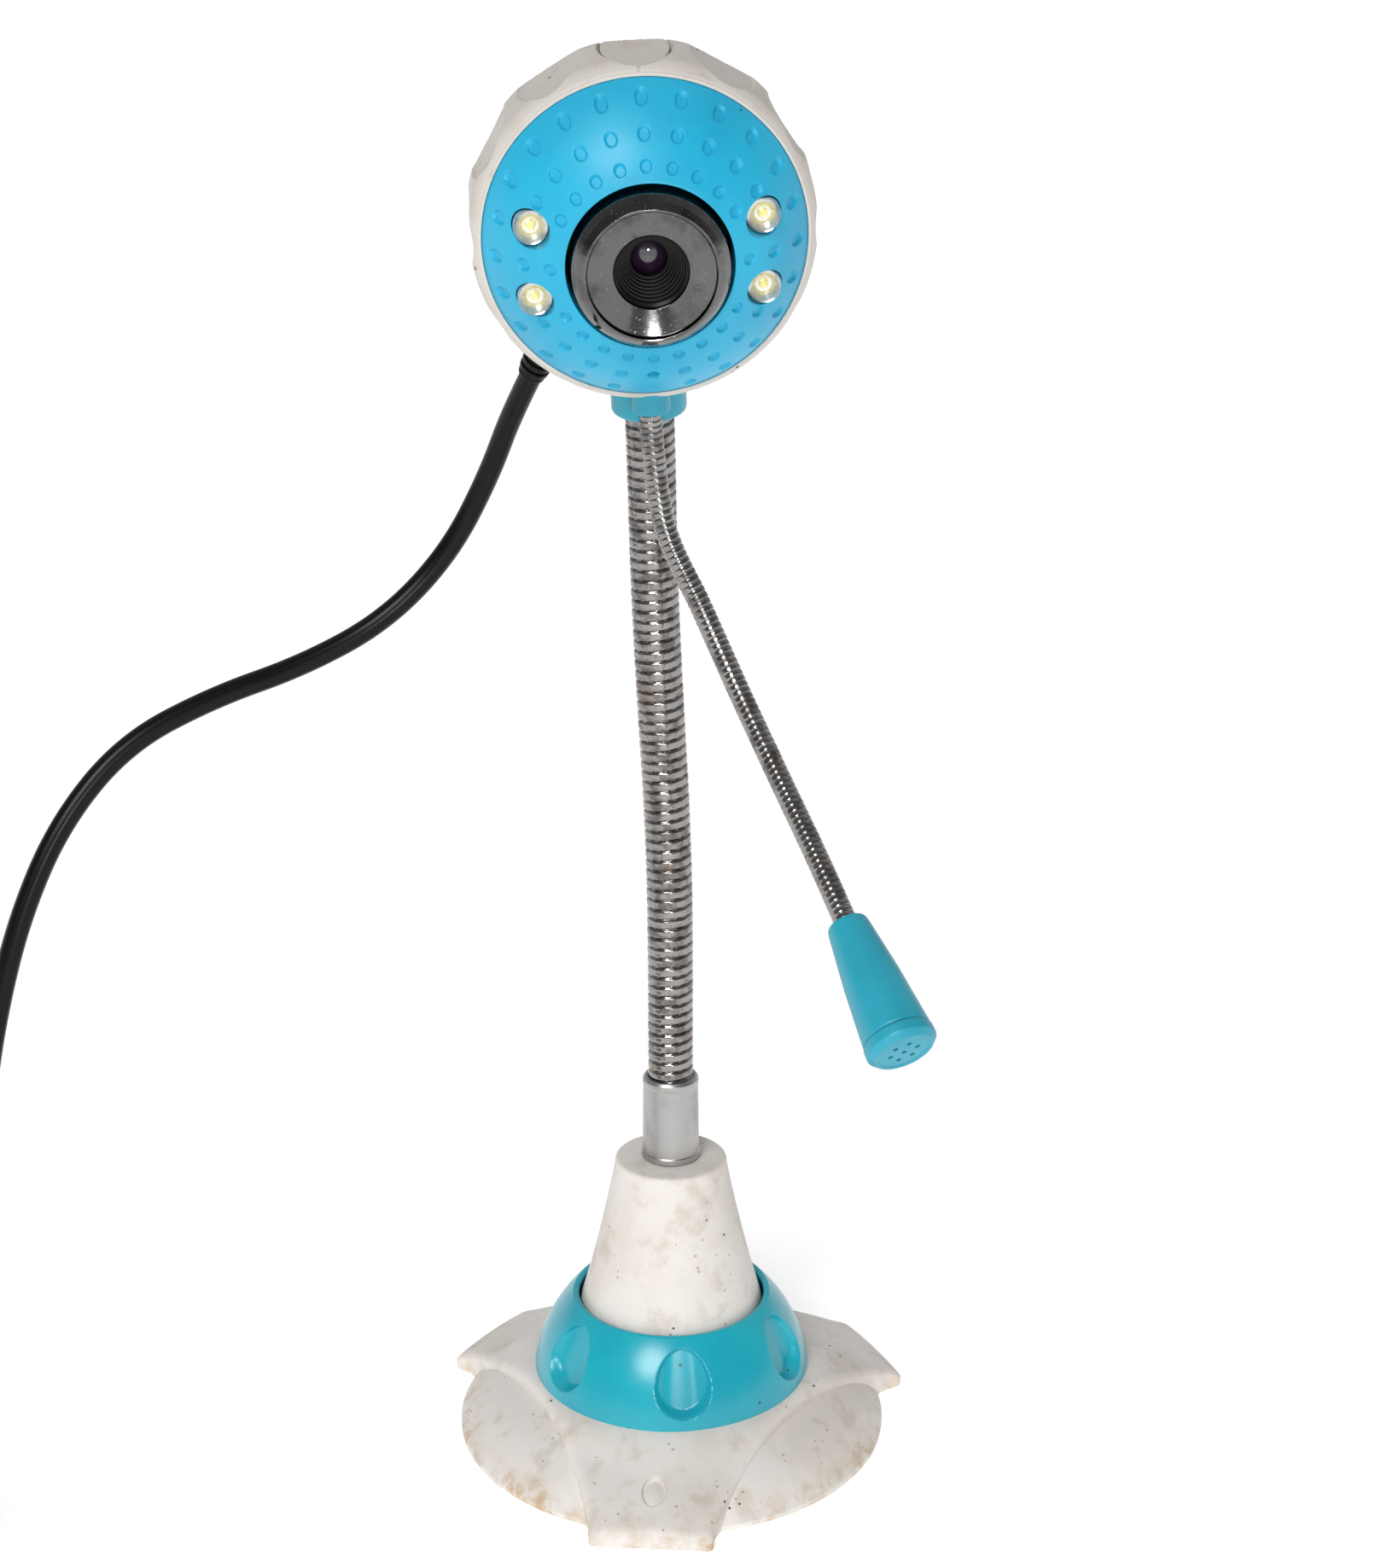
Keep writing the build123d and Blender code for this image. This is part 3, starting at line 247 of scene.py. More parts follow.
def base_plastic():
    """Old off-white plastic, with brown grime at its lower edges, stains and specks."""
    f = Finish("base_plastic")
    stain = f.between(f.noise(0.055, 4.0, 0.6), 0.44, 0.66)
    smudge = f.between(f.noise(0.16, 5.0, 0.65), 0.51, 0.68)
    near_floor = 1 - f.between(f.z, 0.0006, 0.0052)
    grime = near_floor * f.between(f.noise(0.22, 5.0, 0.7), 0.38, 0.62)
    rust = near_floor * f.between(f.noise(0.11, 4.0, 0.7), 0.52, 0.66)
    colour = f.blend(f.noise(0.03, 2.0), (0.76, 0.71, 0.66), (0.82, 0.79, 0.76))
    colour = f.blend(stain * 0.32, colour, (0.57, 0.48, 0.38))
    colour = f.blend(smudge * 0.34, colour, (0.46, 0.36, 0.25))
    colour = f.blend(grime * 0.55, colour, (0.55, 0.40, 0.24))
    colour = f.blend(rust * 0.55, colour, (0.52, 0.28, 0.09))
    colour = f.blend(f.specks(0.24, 0.06), colour, (0.08, 0.06, 0.04))
    colour = f.blend(f.specks(0.5, 0.12) * 0.6, colour, (0.28, 0.20, 0.14))
    roughness = 0.40 + f.noise(0.5, 3.0) * 0.16 + grime * 0.2
    grain = f.bump(f.noise(2.2, 2.0), 0.02, 0.25)
    return f.surface(
        Base_Color=colour,
        Roughness=roughness,
        Normal=f.bump(f.noise(0.09, 2.0), 0.25, 0.30, grain),
        Subsurface_Weight=0.06,
        Subsurface_Radius=(0.004, 0.003, 0.002),
        Subsurface_Scale=0.4,
    )


def shell_plastic():
    """The head's pinkish grey plastic, rubbed and stained where fingers hold it."""
    f = Finish("shell_plastic")
    stain = f.between(f.noise(0.10, 4.0, 0.65), 0.50, 0.70)
    smudge = f.between(f.noise(0.28, 5.0, 0.7), 0.57, 0.72)
    colour = f.blend(f.noise(0.05, 3.0), (0.60, 0.56, 0.51), (0.69, 0.655, 0.615))
    colour = f.blend(stain * 0.40, colour, (0.52, 0.43, 0.34))
    colour = f.blend(smudge * 0.45, colour, (0.42, 0.32, 0.23))
    colour = f.blend(f.specks(0.30, 0.12), colour, (0.12, 0.08, 0.05))
    roughness = 0.38 + f.noise(0.6, 3.0) * 0.18
    return f.surface(
        Base_Color=colour,
        Roughness=roughness,
        Normal=f.bump(f.noise(2.0, 2.0), 0.02, 0.25),
        Subsurface_Weight=0.05,
        Subsurface_Radius=(0.004, 0.003, 0.002),
        Subsurface_Scale=0.4,
    )


def coloured_plastic(name, light, dark, roughness):
    """Smooth moulded plastic in one colour, with faint flow marks, scuffs and a few specks."""
    f = Finish(name)
    flow = f.between(f.noise(0.06, 3.0), 0.35, 0.7)
    scuff = f.between(f.noise(1.3, 4.0, 0.6, f.stretched(1, 1, 4)), 0.64, 0.72)
    colour = f.blend(flow, light, dark)
    colour = f.blend(scuff * 0.12, colour, (0.35, 0.60, 0.68))
    colour = f.blend(f.specks(0.22, 0.055), colour, (0.02, 0.05, 0.06))
    return f.surface(
        Base_Color=colour,
        Roughness=roughness + f.noise(0.4, 3.0) * 0.10 + scuff * 0.12,
        Normal=f.bump(f.noise(1.6, 2.0), 0.012, 0.25),
        Specular_IOR_Level=0.5,
        Coat_Roughness=0.22,
        Coat_Weight=0.10,
    )


def wound_steel():
    """Plated steel winding, bright on the crowns, with dull patches and tarnish."""
    f = Finish("wound_steel")
    dull = f.between(f.noise(0.35, 4.0, 0.6), 0.45, 0.65)
    tarnish = f.between(f.noise(0.12, 4.0, 0.7), 0.55, 0.72)
    colour = f.blend(dull, (0.33, 0.315, 0.305), (0.16, 0.15, 0.145))
    colour = f.blend(tarnish * 0.5, colour, (0.20, 0.14, 0.10))
    return f.surface(
        Base_Color=colour,
        Metallic=1.0,
        Roughness=0.10 + dull * 0.14 + f.noise(1.5, 2.0) * 0.08,
        Normal=f.bump(f.noise(2.5, 2.0), 0.01, 0.3),
    )


def ferrule_steel():
    """Satin metal, with fine lines turned round it."""
    f = Finish("ferrule_steel")
    lines = f.noise(0.9, 3.0, 0.6, f.stretched(0.15, 0.15, 9))
    dull = f.between(f.noise(0.15, 4.0, 0.6), 0.45, 0.70)
    colour = f.blend(dull, (0.46, 0.45, 0.44), (0.34, 0.33, 0.32))
    return f.surface(
        Base_Color=colour,
        Metallic=1.0,
        Roughness=0.30 + lines * 0.16,
        Normal=f.bump(lines, 0.012, 0.5),
    )


def machine_steel(name, shade):
    """Zinc-plated steel for screws and nuts."""
    f = Finish(name)
    bloom = f.noise(0.8, 4.0)
    colour = f.blend(bloom, (shade, shade, shade * 1.02), (shade * 0.7, shade * 0.7, shade * 0.68))
    return f.surface(Base_Color=colour, Metallic=1.0, Roughness=0.30 + bloom * 0.2)


def ring_chrome():
    """Dark chrome plating, with smudges and fine dust."""
    f = Finish("ring_chrome")
    smudge = f.between(f.noise(0.22, 4.0, 0.6), 0.45, 0.70)
    dust = f.between(f.noise(3.0, 2.0), 0.66, 0.72)
    colour = f.blend(smudge, (0.15, 0.147, 0.147), (0.09, 0.087, 0.085))
    colour = f.blend(dust * 0.35, colour, (0.55, 0.50, 0.45))
    return f.surface(
        Base_Color=colour,
        Metallic=1.0,
        Roughness=0.07 + smudge * 0.07 + dust * 0.25,
        Normal=f.bump(f.noise(0.5, 2.0), 0.01, 0.15),
    )


def black_plastic(name, shade, roughness):
    """Black plastic or rubber with a little dust and grain."""
    f = Finish(name)
    dust = f.between(f.noise(0.7, 5.0, 0.7), 0.58, 0.80)
    dusty = (shade + 0.05, shade + 0.045, shade + 0.04)
    colour = f.blend(dust * 0.12, (shade, shade, shade * 1.05), dusty)
    return f.surface(
        Base_Color=colour,
        Roughness=roughness + dust * 0.2,
        Normal=f.bump(f.noise(2.5, 2.0), 0.015, 0.3),
        Specular_IOR_Level=0.2,
    )


def lens_glass():
    """The front glass, nearly black, with a violet coating."""
    f = Finish("lens_glass")
    bloom = f.between(f.noise(0.25, 2.0), 0.3, 0.7)
    colour = f.blend(bloom, (0.010, 0.006, 0.020), (0.030, 0.008, 0.030))
    return f.surface(
        Base_Color=colour,
        Roughness=0.03 + f.noise(1.0, 2.0) * 0.03,
        Coat_Weight=1.0,
        Coat_Roughness=0.02,
        IOR=1.7,
    )


def led_clear():
    """Clear moulded resin with faint flow lines."""
    f = Finish("led_clear")
    haze = f.noise(0.6, 2.0)
    return f.surface(
        Base_Color=f.blend(haze, (0.97, 0.98, 0.98), (0.92, 0.95, 0.96)),
        Roughness=0.02 + haze * 0.04,
        Transmission_Weight=1.0,
        IOR=1.48,
    )


# Yellow phosphor, with a faint painted glow from its emission: the part is no lamp.
def led_phosphor_painted_glow():
    f = Finish("led_phosphor_painted_glow")
    grain = f.noise(4.0, 2.0)
    colour = f.blend(grain, (0.98, 0.88, 0.40), (0.95, 0.76, 0.22))
    return f.surface(
        Base_Color=colour,
        Roughness=0.5 + grain * 0.2,
        # painted glow: the emission makes the phosphor shine though nothing lights it from inside
        Emission_Color=colour,
        Emission_Strength=0.35,
    )


def led_cup_metal():
    f = Finish("led_cup_metal")
    grain = f.noise(2.0, 2.0)
    return f.surface(
        Base_Color=f.blend(grain, (0.95, 0.95, 0.93), (0.80, 0.80, 0.79)),
        Metallic=1.0,
        Roughness=0.28 + grain * 0.1,
    )


def circuit_green():
    """Green board lacquer, with tracks running across it."""
    f = Finish("circuit_green")
    tracks = f.between(f.noise(0.6, 1.0, 0.5, f.stretched(1, 1, 0.2)), 0.52, 0.56)
    colour = f.blend(tracks, (0.03, 0.17, 0.08), (0.05, 0.27, 0.12))
    return f.surface(Base_Color=colour, Roughness=0.30 + tracks * 0.1, Normal=f.bump(tracks, 0.03))


def contact_metal():
    f = Finish("contact_metal")
    wear = f.noise(1.2, 3.0)
    colour = f.blend(wear, (0.80, 0.62, 0.28), (0.62, 0.48, 0.24))
    return f.surface(Base_Color=colour, Metallic=1.0, Roughness=0.22 + wear * 0.2)


def tinted(name, light, dark, roughness):
    """A plain moulded or cast finish between two shades."""
    f = Finish(name)
    cloud = f.noise(0.5, 4.0, 0.6)
    return f.surface(
        Base_Color=f.blend(cloud, light, dark),
        Roughness=roughness + cloud * 0.15,
        Normal=f.bump(f.noise(2.0, 3.0), 0.02, 0.4),
    )


finishes = {
    "base_plastic": base_plastic(),
    "shell_plastic": shell_plastic(),
    "sky_plastic": coloured_plastic("sky_plastic", (0.010, 0.430, 0.670), (0.006, 0.370, 0.600), 0.42),
    "turquoise_plastic": coloured_plastic(
        "turquoise_plastic", (0.010, 0.420, 0.520), (0.008, 0.350, 0.460), 0.20
    ),
    "teal_plastic": coloured_plastic("teal_plastic", (0.016, 0.360, 0.480), (0.010, 0.300, 0.420), 0.36),
    "under_plastic": tinted("under_plastic", (0.26, 0.25, 0.24), (0.20, 0.19, 0.19), 0.5),
    "pad_rubber": black_plastic("pad_rubber", 0.02, 0.7),
    "wound_steel": wound_steel(),
    "ferrule_steel": ferrule_steel(),
    "ballast_iron": tinted("ballast_iron", (0.10, 0.10, 0.11), (0.05, 0.05, 0.05), 0.6),
    "screw_steel": machine_steel("screw_steel", 0.60),
    "ring_chrome": ring_chrome(),
    "lens_plastic": black_plastic("lens_plastic", 0.006, 0.35),
    "lens_glass": lens_glass(),
    "filter_glass": tinted("filter_glass", (0.30, 0.55, 0.60), (0.25, 0.42, 0.50), 0.05),
    "led_clear": led_clear(),
    "board_green": circuit_green(),
    "chip_black": tinted("chip_black", (0.025, 0.025, 0.027), (0.012, 0.012, 0.013), 0.45),
    "contact_metal": contact_metal(),
    "light_green": tinted("light_green", (0.30, 0.75, 0.30), (0.20, 0.60, 0.22), 0.2),
    "cable_black": black_plastic("cable_black", 0.003, 0.30),
    "plug_black": black_plastic("plug_black", 0.014, 0.42),
    "plug_steel": machine_steel("plug_steel", 0.72),
    "plug_white": tinted("plug_white", (0.78, 0.78, 0.76), (0.70, 0.70, 0.68), 0.4),
}
# the phosphor finish, with its painted glow
painted_glow_phosphor = led_phosphor_painted_glow()
cup_metal = led_cup_metal()


# ================================================================ frames
def axes_frame(origin, across, way):
    """A frame in millimetres at an origin, its z along way and its x as near across as it can be."""
    z = Vector(way).normalized()
    x = (Vector(across) - z * Vector(across).dot(z)).normalized()
    turn = Matrix((x, z.cross(x), z)).transposed().to_4x4()
    return Matrix.Translation(origin) @ turn @ Matrix.Scale(MM, 4)


base_turn = -4.3
base = Matrix.Rotation(radians(base_turn), 4, "Z") @ Matrix.Scale(MM, 4)
rim_centre = Vector(joints["focus_turn"]["pos_m"])
lens_way = Vector(joints["focus_turn"]["axis"])
head_up = -Vector(joints["snapshot_press"]["axis"])
head_right = head_up.cross(lens_way)
# x to the right, y up and z to the front of the head; its origin is the middle of the dome's rim
head = axes_frame(rim_centre, head_right, lens_way)


def hung(across, up, forward):
    """A frame under the head, with its z up the head."""
    return axes_frame(head @ Vector((across, up, forward)), head_right, head_up)


# ================================================================ mesh work
def eased(*corners, closed=False, steps=5):
    """An outline of (radius, height) corners, or (radius, height, rounding) where one is rounded."""
    line = []
    for i, corner in enumerate(corners):
        here = Vector(corner[:2])
        ends = i in (0, len(corners) - 1) and not closed
        if len(corner) < 3 or ends:
            line.append(here)
            continue
        before = Vector(corners[i - 1][:2]) - here
        after = Vector(corners[(i + 1) % len(corners)][:2]) - here
        half = before.angle(after) / 2
        reach = min(corner[2] / tan(half), before.length * 0.48, after.length * 0.48)
        first = here + before.normalized() * reach
        last = here + after.normalized() * reach
        for k in range(steps + 1):
            t = k / steps
            line.append(first.lerp(here, t).lerp(here.lerp(last, t), t))
    return line


def sharp(*corners):
    """Sharp (radius, height) corners of an outline."""
    return [Vector(corner) for corner in corners]


def arc_through(first, middle, last, count):
    """Points on the arc from the first point through the middle one to the last."""
    a, b, c = Vector(first), Vector(middle), Vector(last)
    d = 2 * (a.x * (b.y - c.y) + b.x * (c.y - a.y) + c.x * (a.y - b.y))
    aa, bb, cc = a.length_squared, b.length_squared, c.length_squared
    centre = Vector(
        (
            (aa * (b.y - c.y) + bb * (c.y - a.y) + cc * (a.y - b.y)) / d,
            (aa * (c.x - b.x) + bb * (a.x - c.x) + cc * (b.x - a.x)) / d,
        )
    )
    radius = (a - centre).length
    start = atan2(*(a - centre).yx)
    turn = (atan2(*(c - centre).yx) - start + pi) % (2 * pi) - pi
    return [
        centre + Vector((cos(start + turn * k / count), sin(start + turn * k / count))) * radius
        for k in range(count + 1)
    ]


def turned(outline, around=96, closed=False):
    """An outline of (radius, height) points turned about z. A radius of 0 closes the form."""
    points, faces, rings = [], [], []
    for radius, height in outline:
        count = around if radius > 1e-6 else 1
        rings.append(range(len(points), len(points) + count))
        for k in range(count):
            turn = 2 * pi * k / around
            points.append(Vector((radius * cos(turn), radius * sin(turn), height)))
    pairs = list(zip(rings, rings[1:]))
    if closed:
        pairs.append((rings[-1], rings[0]))
    for lower, upper in pairs:
        for k in range(around):
            after = k + 1
            corners = (
                lower[k % len(lower)],
                lower[after % len(lower)],
                upper[after % len(upper)],
                upper[k % len(upper)],
            )
            face = list(dict.fromkeys(corners))
            if len(face) > 2:
                faces.append(face)
    return points, faces


def lofted(sections, closed=False):
    """Sections of equally many points, skinned: with both ends closed, or round to the first again."""
    count = len(sections[0])
    points = [Vector(p) for section in sections for p in section]
    faces = []
    for i in range(len(sections) if closed else len(sections) - 1):
        a, b = i * count, (i + 1) % len(sections) * count
        for k in range(count):
            after = (k + 1) % count
            faces.append([a + k, a + after, b + after, b + k])
    if not closed:
        faces.append(list(range(count))[::-1])
        faces.append([(len(sections) - 1) * count + k for k in range(count)])
    return points, faces


def joined(*forms):
    """Several forms as one."""
    points, faces = [], []
    for form_points, form_faces in forms:
        start = len(points)
        points += form_points
        faces += [[start + corner for corner in face] for face in form_faces]
    return points, faces


def moved(form, shift):
    """A form in another place."""
    return [point + Vector(shift) for point in form[0]], form[1]


def piece(name, form, where, body, finish, stands_for=(), crease=35.0, link_only=False):
    """A finished piece, from a form in millimetres in the frame called where."""
    mesh = bpy.data.meshes.new(name)
    mesh.from_pydata([where @ point for point in form[0]], [], form[1])
    tidy = bmesh.new()
    tidy.from_mesh(mesh)
    bmesh.ops.recalc_face_normals(tidy, faces=tidy.faces)
    tidy.to_mesh(mesh)
    tidy.free()
    for face in mesh.polygons:
        face.use_smooth = True
    mesh.set_sharp_from_angle(angle=radians(crease))
    mesh.materials.append(finishes[finish])
    made = placed(name, mesh)
    if stands_for:
        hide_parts(*stands_for)
    if not link_only:
        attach(made, body)
    return made


def cut(target, name, form, where):
    """Cuts a form out of a piece."""
    cutter = piece(name, form, where, None, "base_plastic", link_only=True)
    knife = target.modifiers.new("cut", "BOOLEAN")
    knife.operation = "DIFFERENCE"
    knife.solver = "EXACT"
    knife.object = cutter
    depsgraph = bpy.context.evaluated_depsgraph_get()
    result = bpy.data.meshes.new_from_object(target.evaluated_get(depsgraph))
    target.modifiers.clear()
    result.set_sharp_from_angle(angle=radians(35))
    target.data = result
    bpy.data.objects.remove(cutter)


# ================================================================ lead
lead_diameter = 3.5
coil_centre = Vector((-141.2, -92.0))
# from inside the gland to the coil: away to the left, down to the floor and forwards
lead_route = [
    (-16.3, -8.0, 188.5),
    (-23.6, 1.5, 175.1),
    (-28.2, 6.1, 163.3),
    (-35.1, 7.4, 150.5),
    (-45.2, 4.8, 140.3),
    (-57.8, 0.0, 134.2),
    (-71.1, -5.8, 130.6),
    (-83.8, -12.1, 124.9),
    (-93.1, -17.9, 114.1),
    (-99.2, -22.3, 100.6),
    (-103.3, -25.5, 85.7),
    (-106.1, -27.9, 70.3),
    (-108.4, -30.1, 54.7),
    (-110.5, -33.2, 39.2),
    (-112.7, -38.0, 24.1),
    (-114.7, -46.5, 10.5),
    (-116.0, -60.0, 1.75),
]


def coil_route():
    """Four turns on the floor, from the outside in, and three on them from the inside out."""
    points = [(coil_centre.x + 25.2, coil_centre.y + 14.0, 1.75)]
    per_turn = 16
    low, high = 1.8, 4.9
    for k in range(int(7.5 * per_turn) + 1):
        turns = k / per_turn
        if turns <= 3.5:
            radius, height = 25.2 - 3.55 * min(max(turns - 0.25, 0.0), 3.0), low
        elif turns <= 4.0:
            share = (turns - 3.5) * 2
            radius, height = 14.55 + 1.85 * share, low + (high - low) * share
        else:
            radius, height = 16.4 + 3.5 * min(max(turns - 4.5, 0.0), 2.0), high
        turn = -2 * pi * turns
        points.append(
            (coil_centre.x + radius * cos(turn), coil_centre.y + radius * sin(turn), height)
        )
    plug_x = coil_centre.x - 23.5
    points.append((plug_x, coil_centre.y + 10.0, 4.9))
    points.append((plug_x, coil_centre.y + 19.0, 3.9))
    return points


def nurbs_line(points):
    """Points along the smooth curve that the control points make, in metres."""
    curve = bpy.data.curves.new("route", "CURVE")
    curve.dimensions = "3D"
    curve.resolution_u = 12
    spline = curve.splines.new("NURBS")
    spline.points.add(len(points) - 1)
    for control, point in zip(spline.points, points):
        control.co = (*(Vector(point) * MM), 1.0)
    spline.order_u = 3
    spline.use_endpoint_u = True
    holder = placed("route", curve)
    bpy.context.view_layer.update()
    depsgraph = bpy.context.evaluated_depsgraph_get()
    mesh = bpy.data.meshes.new_from_object(holder.evaluated_get(depsgraph))
    line = [vertex.co.copy() for vertex in mesh.vertices]
    bpy.data.objects.remove(holder)
    return line


class Path:
    """A line through space, with a frame at each point that doesn't twist."""

    def __init__(self, line):
        self.line = line
        self.along = [0.0]
        for a, b in zip(line, line[1:]):
            self.along.append(self.along[-1] + (b - a).length)
        self.length = self.along[-1]
        ways = [(b - a).normalized() for a, b in zip(line, line[1:])]
        self.ways = [ways[0]]
        for a, b in zip(ways, ways[1:]):
            self.ways.append((a + b).normalized())
        self.ways.append(ways[-1])
        side = ways[0].orthogonal().normalized()
        self.sides = []
        for way in self.ways:
            side = (side - way * side.dot(way)).normalized()
            self.sides.append(side)

    def at(self, distance):
        """The place, side and other side at a distance along the line."""
        i = 0
        while i < len(self.along) - 2 and self.along[i + 1] < distance:
            i += 1
        run = self.along[i + 1] - self.along[i]
        share = min(max((distance - self.along[i]) / run, 0.0), 1.0)
        way = self.ways[i].lerp(self.ways[i + 1], share).normalized()
        side = self.sides[i].lerp(self.sides[i + 1], share)
        side = (side - way * side.dot(way)).normalized()
        return self.line[i].lerp(self.line[i + 1], share), side, way.cross(side)

    def nearest(self, point):
        """How far along the line the nearest place to a point is."""
        best = min(range(len(self.line)), key=lambda i: (self.line[i] - point).length_squared)
        return self.along[best]


def tube_form(path, first, last, step, around, radius_at):
    """A closed tube along part of a path, in the path's own units."""
    count = max(int((last - first) / step + 0.5), 2)
    rings = []
    for i in range(count + 1):
        distance = first + (last - first) * i / count
        place, side, other = path.at(distance)
        ring = []
        for k in range(around):
            turn = 2 * pi * k / around
            radius = radius_at(distance, k / around)
            ring.append(place + side * (radius * cos(turn)) + other * (radius * sin(turn)))
        rings.append(ring)
    return lofted(rings)


METRES = Matrix.Identity(4)
chain = ["base"] + [f"neck_{i}" for i in range(1, 8)] + ["head"]


def make_lead():
    """The lead in eight stretches, down to the floor, and its coil."""
    line = nurbs_line(lead_route + coil_route())
    path = Path(line)
    radius = lead_diameter * MM / 2
    near_floor = Vector((-0.1145, -0.046, 0.0115))
    floor_end = path.nearest(near_floor)
    gland_mouth = path.nearest(head @ gland_point(8.0))
    stretches = len(chain) - 1
    share = floor_end / stretches
    for i in range(stretches):
        first, last = i * share, (i + 1) * share
        steps = max(int((last - first) / 0.001), 8)
        route = [path.at(first + (last - first) * k / steps)[0] for k in range(steps + 1)]
        form = tube_form(path, first, last, 0.001, 20, lambda distance, turn: radius)
        stretch = piece(
            f"usb_lead_{i + 1}",
            form,
            METRES,
            None,
            "cable_black",
            ("usb_lead",) if i == 0 else (),
            link_only=True,
        )
        inner = 0.12 * (last - first)
        path.at(first + inner)[0]
        path.at(last - inner)[0]
        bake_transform(stretch)
        exit_point = path.at(gland_mouth if i == 0 else first)[0]
        max(last - first, 0.03)
    turns = [
        point for distance, point in zip(path.along, path.line) if distance > floor_end + 0.0004
    ]
    turns.insert(0, path.at(floor_end)[0])
    coil_path = Path(turns)
    form = tube_form(coil_path, 0.0, coil_path.length, 0.0012, 16, lambda distance, turn: radius)
    coil = piece("usb_lead_coil_turns", form, METRES, "base", "cable_black", ("usb_lead_coil",))
    return coil, coil_path


def gland_point(distance):
    """A point on the gland's axis, in the head's frame, this far out of the shell."""
    return gland_foot + gland_way * distance


gland_place = Vector((-14.0, -19.5))
gland_way = Vector((-0.4, -0.85, -0.35)).normalized()
shell_depth = 20.0
shell_corner = 9.5
shell_back_radius = 25.2
gland_reach = gland_place.length - shell_back_radius + shell_corner
gland_foot = Vector(
    (*gland_place, -(shell_depth - shell_corner + sqrt(shell_corner**2 - gland_reach**2)))
)
coil, coil_path = make_lead()


def make_gland():
    """A tapered strain relief with ribs, pushed into the head's shell."""
    where = axes_frame(head @ gland_foot, (1, 0, 0), head.to_3x3() @ gland_way)
    outline = sharp((1.72, -3.0), (2.2, -3.0), (2.2, 0.2))
    outline += eased((2.2, 0.2), (3.0, 0.3, 0.2), (2.9, 2.6, 0.3), (2.45, 2.8))
    for i in range(3):
        start = 3.0 + i * 1.5
        width = 2.62 - i * 0.13
        outline += eased(
            (width - 0.35, start), (width, start + 0.15, 0.12),
            (width - 0.06, start + 0.9, 0.12), (width - 0.4, start + 1.1),
        )
    outline += eased((2.1, 7.4), (2.1, 8.0, 0.2), (1.72, 8.0))
    form = turned(outline, 48, closed=True)
    piece("lead_strain_relief", form, where, "head", "cable_black", ("cable_gland",))


make_gland()


# ================================================================ base
leg_reach, leg_half_width, leg_waist = 40.4, 10.2, 24.9
lobe_radius = 36.4
leg_ball, leg_top = 89.5, 12.9


def leg_height(radius):
    """The plate's top at a radius: a shallow dome that rises a little to the ring."""
    share = min(max((31.0 - radius) / 7.0, 0.0), 1.0)
    return sqrt(leg_ball**2 - radius**2) - leg_ball + leg_top + 1.3 * share * share * (3 - 2 * share)


def leg_outline(inset, corner=1.6, per_side=40):
    """Three waisted legs, drawn inwards by the inset, as one loop."""
    loop = []
    reach, half, waist = leg_reach - inset, leg_half_width - inset, leg_waist - inset
    for angle in (-90, 30, 150):
        out, between, after = (
            Vector((cos(radians(angle + more)), sin(radians(angle + more)))) for more in (0, 60, 120)
        )
        side = Vector((-out.y, out.x))
        after_side = Vector((-after.y, after.x))
        middle = between * waist
        first = out * reach + side * half
        last = after * reach - after_side * half
        for place, way in ((out * reach - side * half, 1), (first, -1)):
            rounding = corner * (0.6 + 0.4 * (inset == 0))
            for k in range(9):
                t = k / 8
                if way > 0:
                    a = place - out * rounding * 0.9 + side * rounding * 0.15
                    b = place + side * rounding
                else:
                    a = place - side * rounding
                    b = place - out * rounding * 0.9 - side * rounding * 0.15
                loop.append(a.lerp(place, t).lerp(place.lerp(b, t), t))
            if way > 0:
                loop += [b.lerp(first - side * rounding, k / 24) for k in range(1, 24)]
        start = first - out * 2.6 - side * 0.45
        end = last - after * 2.6 + after_side * 0.45
        loop += arc_through(start, middle, end, per_side * 2)[1:-1]
    return loop


def make_base_legs():
    """The legs' domed plate, with rolled edges and a thumb mark on the front leg."""
    roll = 1.3
    rings = []
    for share in (0.5, 0.58, 0.66, 0.73, 0.79, 0.84, 0.88, 0.91, 0.94, 0.965, 0.985):
        loop = leg_outline(roll)
        rings.append([(p.x * share, p.y * share, leg_height(p.length * share)) for p in loop])
    for k in range(9):
        turn = pi / 2 * k / 8
        loop = leg_outline(roll * (1 - sin(turn)))
        drop = roll * (1 - cos(turn))
        rings.append([(p.x, p.y, leg_height(p.length) - drop * 0.75) for p in loop])
    outer = leg_outline(0)
    rings.append([(p.x, p.y, 0.6) for p in outer])
    rings.append([(p.x * 0.995, p.y * 0.995, 0.3) for p in outer])
    inner = leg_outline(1.9)
    rings.append([(p.x, p.y, 0.3) for p in inner])
    rings.append([(p.x * 0.98, p.y * 0.98, 1.6) for p in inner])
    rings.append([(p.x * 0.5, p.y * 0.5, leg_height(p.length * 0.5) - 2.2) for p in inner])
    form = lofted(rings, closed=True)
    legs = piece("base_legs", form, base, "base", "base_plastic", ("base_shell",), crease=50)
    mark_reach = 33.5
    slope = Vector((0, -mark_reach, leg_height(mark_reach) + leg_ball - leg_top)).normalized()
    spot = Vector((0, -mark_reach, leg_height(mark_reach)))
    outline = sharp(
        (0, -0.35), (0.5, -0.45), (0.82, -0.80), (0.94, -0.70), (1.0, -0.3), (1.02, 1.0), (0, 1.0)
    )
    points, faces = turned(outline, 64)
    oval = [Vector((p.x * 2.0, p.y * 2.9, p.z)) for p in points]
    cut(legs, "thumb_mark", (oval, faces), base @ mark_frame(spot, slope))


def mark_frame(spot, slope):
    """A frame on the plate, its z square to the surface."""
    x = Vector((1, 0, 0))
    turn = Matrix((x, slope.cross(x), slope)).transposed().to_4x4()
    return Matrix.Translation(spot) @ turn


